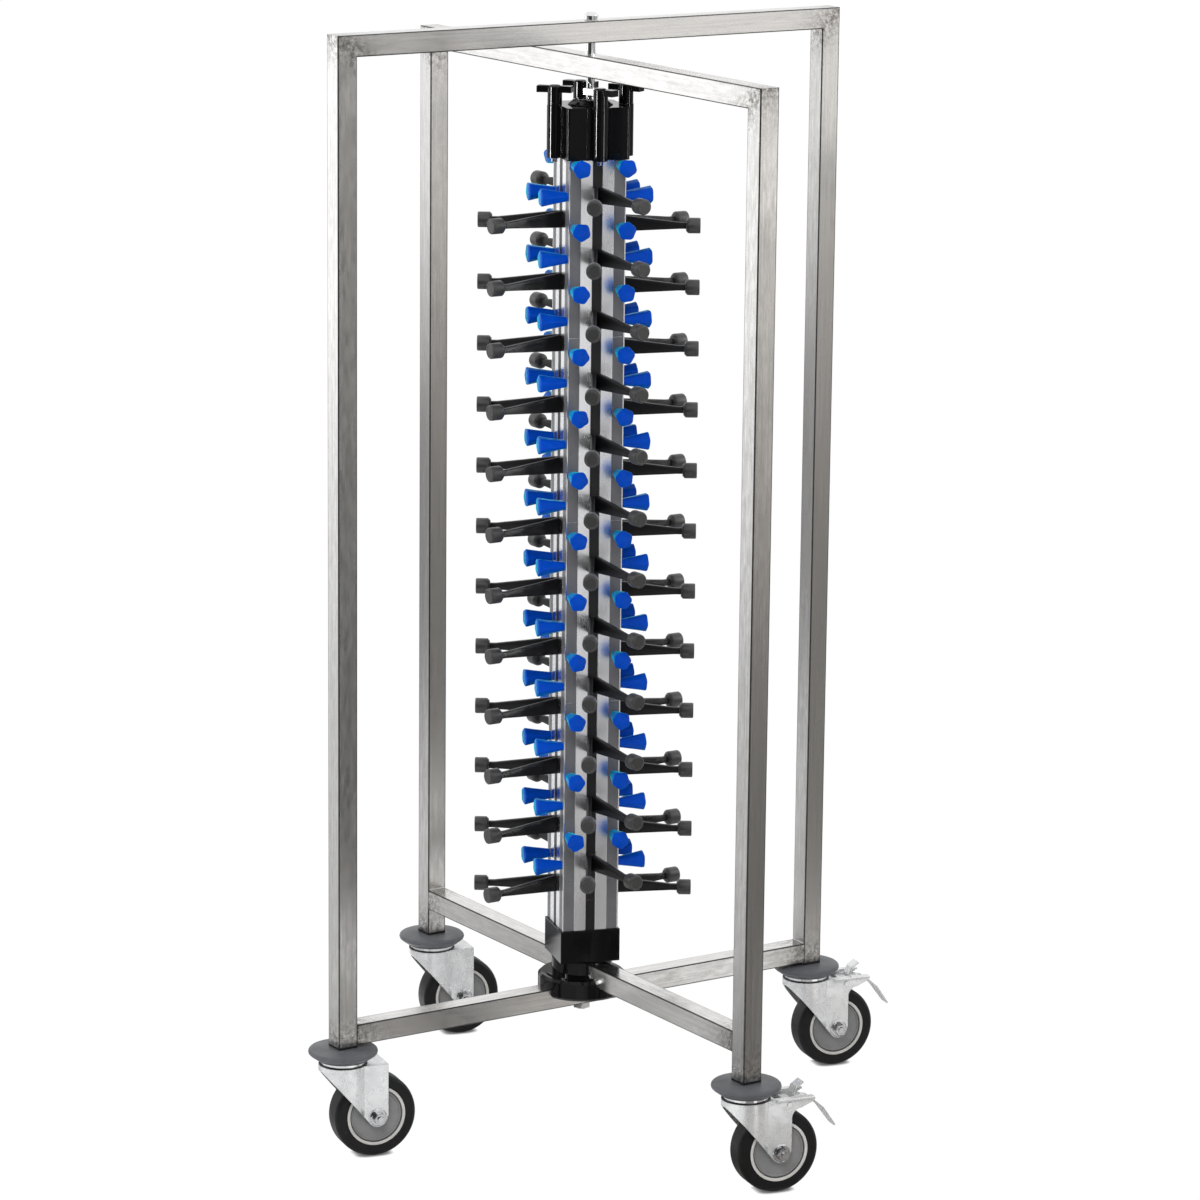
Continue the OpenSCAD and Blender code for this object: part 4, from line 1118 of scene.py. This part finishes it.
def reflector(name, angles, near, far, rise, levels, tint, across, lift):
    """A sheet round the set that only shows in shiny surfaces, between two angles in degrees.

    Its levels of light follow each other from its near or lower edge to the other one. The two
    figures of across multiply them at its first and its last angle.
    """
    first, last = angles
    bm = bmesh.new()
    level = bm.verts.layers.float.new("level")
    rows = ROWS_TO_A_LEVEL * (len(levels) - 1)
    grid = []
    for row in range(rows + 1):
        share = row / rows
        radius = near + (far - near) * share
        height = lift + rise * share
        low = min(row // ROWS_TO_A_LEVEL, len(levels) - 2)
        own = levels[low] + (levels[low + 1] - levels[low]) * (row / ROWS_TO_A_LEVEL - low)
        line = []
        for step in range(CARD_STEPS + 1):
            turn = step / CARD_STEPS
            a = math.radians(first + (last - first) * turn)
            vert = bm.verts.new((radius * math.cos(a), radius * math.sin(a), height))
            vert[level] = own * (across[0] + (across[1] - across[0]) * turn)
            line.append(vert)
        grid.append(line)
    for one, other in zip(grid, grid[1:]):
        for i in range(CARD_STEPS):
            bm.faces.new((one[i], one[i + 1], other[i + 1], other[i]))
    sheet = finished(name, bm)
    material, tree, _, place = new_material(name)
    uneven = ranged(tree, noise(tree, place, 3.0, 2.0), (0.3, 0.7), (0.85, 1.15))
    glow = put(tree, "ShaderNodeEmission", {
        "Color": opaque(tint), "Strength": product(tree, painted_on(tree, "level"), uneven),
    })
    fill(tree, tree.nodes["Material Output"], {"Surface": glow.outputs[0]})
    sheet.data.materials.append(material)
    sheet.visible_camera = False
    sheet.visible_diffuse = False
    sheet.visible_shadow = False


def card(name, angles, rise, levels, tint=WHITE, radius=CARD_R):
    """An upright card, with its levels from foot to top."""
    reflector(name, angles, radius, radius, rise, levels, tint, (1.0, 1.0), CARD_LIFT)


def mat(name, angles, near, far, levels, tint=WHITE, across=(1.0, 1.0), lift=CARD_LIFT):
    """A mat on the floor, with its levels from its near edge to its far one."""
    reflector(name, angles, near, far, 0.0, levels, tint, across, lift)


camera()
world_light()
studio_floor()
studio_lamps()

# Each face of a tube mirrors its own strip of cards and mats, which give it its tones
card("Card right near", (-81, -68.3), 1.25, (0.03, 0.10), WARM)
card("Card right middle", (-68.3, -46.3), 0.96, (0.13, 0.16, 0.40, 0.75), WARM)
card("Card right far", (-46.3, -28), 0.98, (0.18, 0.17, 0.26, 0.30), WARM)
mat("Far mat right", (-81, -28), 1.5, 9.0, (2.0, 2.0), WARM, (1.15, 0.4))
mat("Mat right", (-66, -28), 0.35, CARD_R, (0.50, 0.12), WARM)
mat("Mat right near", (-81, -66), 0.35, 0.75, (0.50, 0.35), WARM)
mat("Mat right near, dark", (-81, -66), 0.75, CARD_R, (0.10, 0.08), WARM)
card("Card front", (-108, -81), 0.86, (0.80, 1.10))
mat("Mat front", (-108, -81), 0.2, CARD_R, (0.30, 0.30), WARM)
mat("Mat by the left caster", (224, 244), 0.30, 0.62, (1.0, 1.0), lift=MAT_LIFT)
mat("Mat by the front caster", (-88, -80), 0.62, 0.88, (1.0, 1.0), lift=MAT_LIFT)
mat("Mat by the right caster", (-58, -34), 0.50, 0.76, (1.0, 1.0), lift=MAT_LIFT)
card("Card left near", (122, 150), 1.5, (0.62, 0.82, 1.10, 1.36, 1.60, 1.60))
card("Card left middle", (113, 122), 1.5, (0.90, 0.42, 0.46, 0.95, 1.50, 1.50))
card("Card left far", (98, 113), 1.5, (0.08, 0.05, 0.12, 0.60, 1.05, 1.10))
mat("Mat left", (98, 150), 0.35, CARD_R, (0.45, 0.68))
card("Card behind", (80, 98), 1.5, (1.3, 1.3))
mat("Mat behind", (80, 98), 0.35, CARD_R, (1.3, 1.3))
card("Dark front", (158, 248), 1.6, (0.04, 0.04), radius=1.5)
mat("Dark back", (34, 79), 0.7, 6.0, (0.05, 0.05))

bpy.context.scene.view_settings.view_transform = "Standard"
